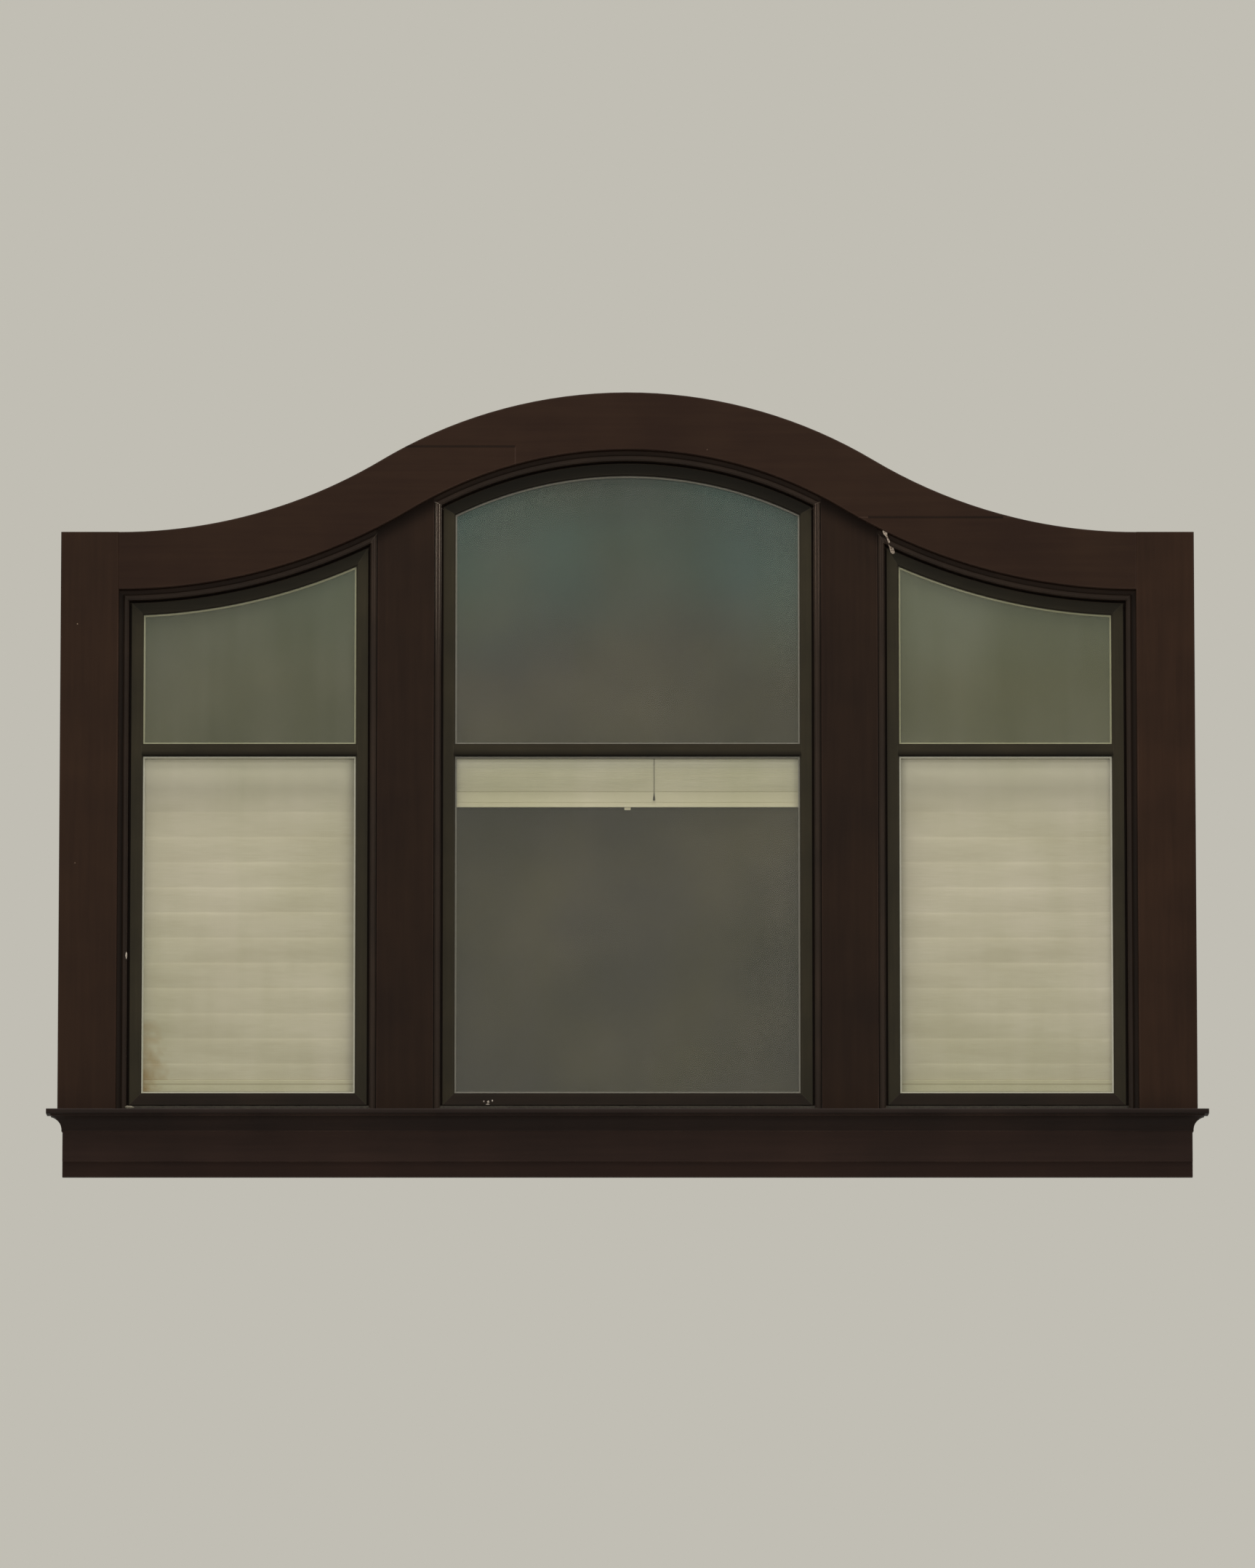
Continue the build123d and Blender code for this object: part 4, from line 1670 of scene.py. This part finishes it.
@dataclass
class SoftShade:
    """Shade of one light: cloth in sewn soft folds between its head rail and bottom rail."""

    builder: Builder
    light: Light
    raised: bool
    head: float = 1607 * MM
    lowered_foot: float = 379 * MM
    raised_foot: float = 1483 * MM
    travel: float = 1.10
    first_seam: float = 11 * MM
    fold_pitch: float = 96.2 * MM
    full_folds: int = 12
    overlap: float = 47 * MM
    hang: float = 89 * MM
    cloth: float = 1.6 * MM
    hem: float = 20 * MM
    hem_extra: float = 0.8 * MM
    bulge: float = 2.1 * MM
    raised_bulge: float = 0.9 * MM
    crease: float = 0.4 * MM
    sag: float = 1.4 * MM
    # A fold stands out by the first share of its depth, and by up to the second share more or less.
    steady: float = 0.8
    uneven: float = 0.6
    # The doubled cloth of a hem ends in a slope 2 mm wide.
    hem_turn: float = 2 * MM
    column: float = 14 * MM
    # Places of the rows down one fold, closer together where it turns out from under its seam.
    rows: tuple[float, ...] = (0.0, 0.03, 0.075, 0.14, 0.23, 0.36, 0.52, 0.68, 0.84, 0.95)
    # How far below the cloth's foot the painted shadow line on a bottom rail lies, lowered and raised.
    edge_shadow_drop: float = 15 * MM
    raised_edge_shadow_drop: float = 1 * MM
    # Water stain on the left shade: its spread, and how far it lies from the cloth's foot.
    cloth_stain: float = 130 * MM
    cloth_stain_rise: float = 10 * MM
    rail_stain: float = 90 * MM
    rail_stain_drop: float = 30 * MM

    @property
    def foot(self) -> float:
        """Height at which the cloth enters the bottom rail, at rest."""
        return self.raised_foot if self.raised else self.lowered_foot

    @property
    def width(self) -> float:
        """Width of the cloth."""
        return self.light.right - self.light.left + 2 * self.overlap

    def build(self) -> None:
        """Make the cloth and give the rails their coating."""
        title = self.light.title
        cloth = self._cloth()
        if self.raised:
            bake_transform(cloth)
        else:
            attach(cloth, "window")
            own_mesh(cloth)
        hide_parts(f"{title}_shade_fabric")
        self.builder.dress(f"{title}_shade_bottom_rail", self._rail_coating())
        head_rail = CreamCoating("powder_coated_head_rail", "#b5af97", "#a49e86")
        self.builder.dress(f"{title}_shade_head_rail", head_rail)
        log.info("%s shade hangs in %d folds", title, len(self._seams()) - 1)

    def _rail_coating(self) -> CreamCoating:
        """Coating of the bottom rail, drawn lighter on the raised one as painted light, and stained on the
        left.
        """
        if self.raised:
            joint = self.foot - self.raised_edge_shadow_drop
            # Painted light: the raised shade's rail is drawn lighter, against the shadow of the bar over it.
            return CreamCoating(
                "cleaner_powder_coated_rail", "#dad2b8", "#cbc3a8", joint=joint, edge_shadow_share=0.45
            )
        joint = self.foot - self.edge_shadow_drop
        rail = CreamCoating("powder_coated_bottom_rail", "#c3bca2", "#b4ad92", joint=joint)
        if self.light is not Light.LEFT:
            return rail
        worst = (self.light.left, 0.0, self.foot - self.rail_stain_drop)
        stain = Stain(worst, self.rail_stain, (1.0, 0.0, 0.4))
        return replace(rail, name="stained_powder_coated_rail", stain=stain)

    def _weave(self) -> WovenPolyester:
        """Cloth of the shade: lighter on the raised one as painted light, stained at the left one's lower
        left corner.
        """
        finish = WovenPolyester(f"woven_polyester_{self.light.title}")
        if self.raised:
            # Painted light: the raised shade's cloth is drawn lighter, against the shadow of the bar over it.
            return replace(finish, colour="#dad3bb", shaded="#cbc4aa", clean="#e3ddc9", clean_reach=60 * MM)
        if self.light is not Light.LEFT:
            return finish
        worst = (self.overlap, self._cut_length() - self.cloth_stain_rise, 0.0)
        return replace(finish, stain=Stain(worst, self.cloth_stain, (1.0, 0.4, 1.0)))

    def _cut_length(self) -> float:
        """Length of the cloth along its folds."""
        seams = self._seams()
        length = 0.0
        for top, foot in zip(seams, seams[1:]):
            places = [((top - foot) * s, self._depth(top - foot) * self._swell(s)) for s in (*self.rows, 1.0)]
            length += sum(math.dist(a, b) for a, b in zip(places, places[1:]))
        return length

    def _depth(self, height: float) -> float:
        """How far a fold stands proud.

        Args:
            height: Height of the fold, at rest.

        Returns:
            Its depth, which shrinks with folds that are cut short.
        """
        if self.raised:
            return self.raised_bulge
        return self.bulge * min(1.0, height / self.fold_pitch)

    def _swell(self, s: float) -> float:
        """Share of a fold's depth at a place down it, which grows fast under the seam and falls off slowly.

        Args:
            s: Place down the fold, from 0 at its top seam to 1 at its foot.

        Returns:
            The share.
        """
        return math.sin(math.pi * s**0.6)

    def _seams(self) -> list[float]:
        """Heights of the seams at rest, from the head rail down.

        The raised shade's seams are spaced so that they come out even when it is let down.

        Returns:
            The heights.
        """
        drop = self.head - self.foot
        whole = drop + (self.travel if self.raised else 0.0)
        fallen = [0.0] + [self.first_seam + self.fold_pitch * k for k in range(self.full_folds + 1)] + [whole]
        if not self.raised:
            return [self.head - distance for distance in fallen]
        seams = []
        for distance in fallen:
            low, high = 0.0, 1.0
            for _ in range(40):
                t = (low + high) / 2
                reached = drop * t + self.travel * t * t * (3 - 2 * t)
                low, high = (t, high) if reached < distance else (low, t)
            seams.append(self.head - drop * low)
        seams[0], seams[-1] = self.head, self.foot
        return seams

    def _cloth(self) -> bpy.types.Object:
        """Make the folded cloth as one closed sheet, hemmed at both sides."""
        columns = round(self.width / self.column)
        edges = [0.0, self.hem - self.hem_turn, self.hem]
        inner = [self.hem + (self.width - 2 * self.hem) * i / columns for i in range(1, columns)]
        across = edges + inner + [self.width - e for e in reversed(edges)]
        seams = self._seams()
        length = self._cut_length()
        front: list[list[Point]] = []
        run: list[float] = []
        for band, (top, foot) in enumerate(zip(seams, seams[1:])):
            last = band == len(seams) - 2
            for s in self.rows + ((1.0,) if last else ()):
                front.append([self._place(x, band, s, top, foot) for x in across])
                run.append(length * (self.head - top + (top - foot) * s) / (self.head - self.foot))
        rows, count = len(front), len(across)
        vertices = [p for line in front for p in line]
        for line in front:
            vertices += [(x, y + self._thickness(x), z) for x, y, z in line]
        faces = self._grid(rows, count)
        name = f"{self.light.title}_shade_cloth"
        piece = add_mesh(name, (vertices, faces), self.builder.material(self._weave()), smooth=True)
        places = piece.data.attributes.new(CLOTH_PLACE, "FLOAT_VECTOR", "POINT")
        flat = [(x, run[r], 0.0) for r in range(rows) for x in across] * 2
        places.data.foreach_set("vector", [value for place in flat for value in place])
        return piece

    def _grid(self, rows: int, count: int) -> list[list[int]]:
        """Join the points of the cloth's front and back into faces.

        Args:
            rows: Number of rows of points.
            count: Number of points in each.

        Returns:
            Faces of both sides and of the edges between them.
        """
        back = rows * count
        faces = []
        for r in range(rows - 1):
            for c in range(count - 1):
                a, b = r * count + c, r * count + c + 1
                d, e = a + count, b + count
                faces.append([a, d, e, b])
                faces.append([back + a, back + b, back + e, back + d])
            a, d = r * count, (r + 1) * count
            faces.append([a, back + a, back + d, d])
            a, d = a + count - 1, d + count - 1
            faces.append([a, d, back + d, back + a])
        for c in range(count - 1):
            faces.append([c, c + 1, back + c + 1, back + c])
            a = (rows - 1) * count + c
            faces.append([a, back + a, back + a + 1, a + 1])
        return faces

    def _thickness(self, x: float) -> float:
        """Thickness of the cloth, doubled in its side hems.

        Args:
            x: Place along the window.

        Returns:
            Thickness there.
        """
        edge = min(x - self.light.left, self.light.right - x) + self.overlap
        return self.cloth + (self.hem_extra if edge < self.hem - self.hem_turn / 2 else 0.0)

    def _place(self, x: float, band: int, s: float, top: float, foot: float) -> Point:
        """Place of one point of the cloth's front.

        Args:
            x: Distance from the cloth's left edge.
            band: Number of the fold, from the top.
            s: Place down the fold, from 0 at its top seam to 1 at its foot.
            top: Height of the top seam.
            foot: Height of the lower seam.

        Returns:
            The point.
        """
        # Each shade has its own stretch of the noise. Waves are about 0.3 m wide, and creases 0.1 m.
        seed = 10.0 * (self.light.left + 3.0)
        wave = noise.noise((x * 3.1 + seed, band * 1.7, 0.0))
        crease = noise.noise((x * 9.0 + seed, band * 2.3, 5.0))
        fixed = top == self.head and s == 0.0 or foot == self.foot and s == 1.0 or self.raised
        sag = 0.0 if fixed else self.sag * noise.noise((x * 3.4 + seed, (band + s) * 0.9, 9.0))
        swell, depth = self._swell(s), self._depth(top - foot)
        proud = swell * (depth * (self.steady + self.uneven * wave) + self.crease * crease)
        y = self.hang - min(max(proud, 0.0), depth + self.crease)
        return self.light.left - self.overlap + x, y, top + (foot - top) * s + sag


def main() -> None:
    """Build the camera and cord first, then every part of the window, and the studio."""
    logging.basicConfig(level=logging.INFO, format="%(message)s")
    builder = Builder()
    PhotographCamera().place()
    PullCord(builder).build()
    Casing(builder).build()
    FramesAndSashes(builder).build()
    SealedUnits(builder).build()
    Sealing(builder).build()
    for light in Light:
        SoftShade(builder, light, raised=light is Light.CENTRE).build()
    Studio().build()


if __name__ == "__main__":
    main()
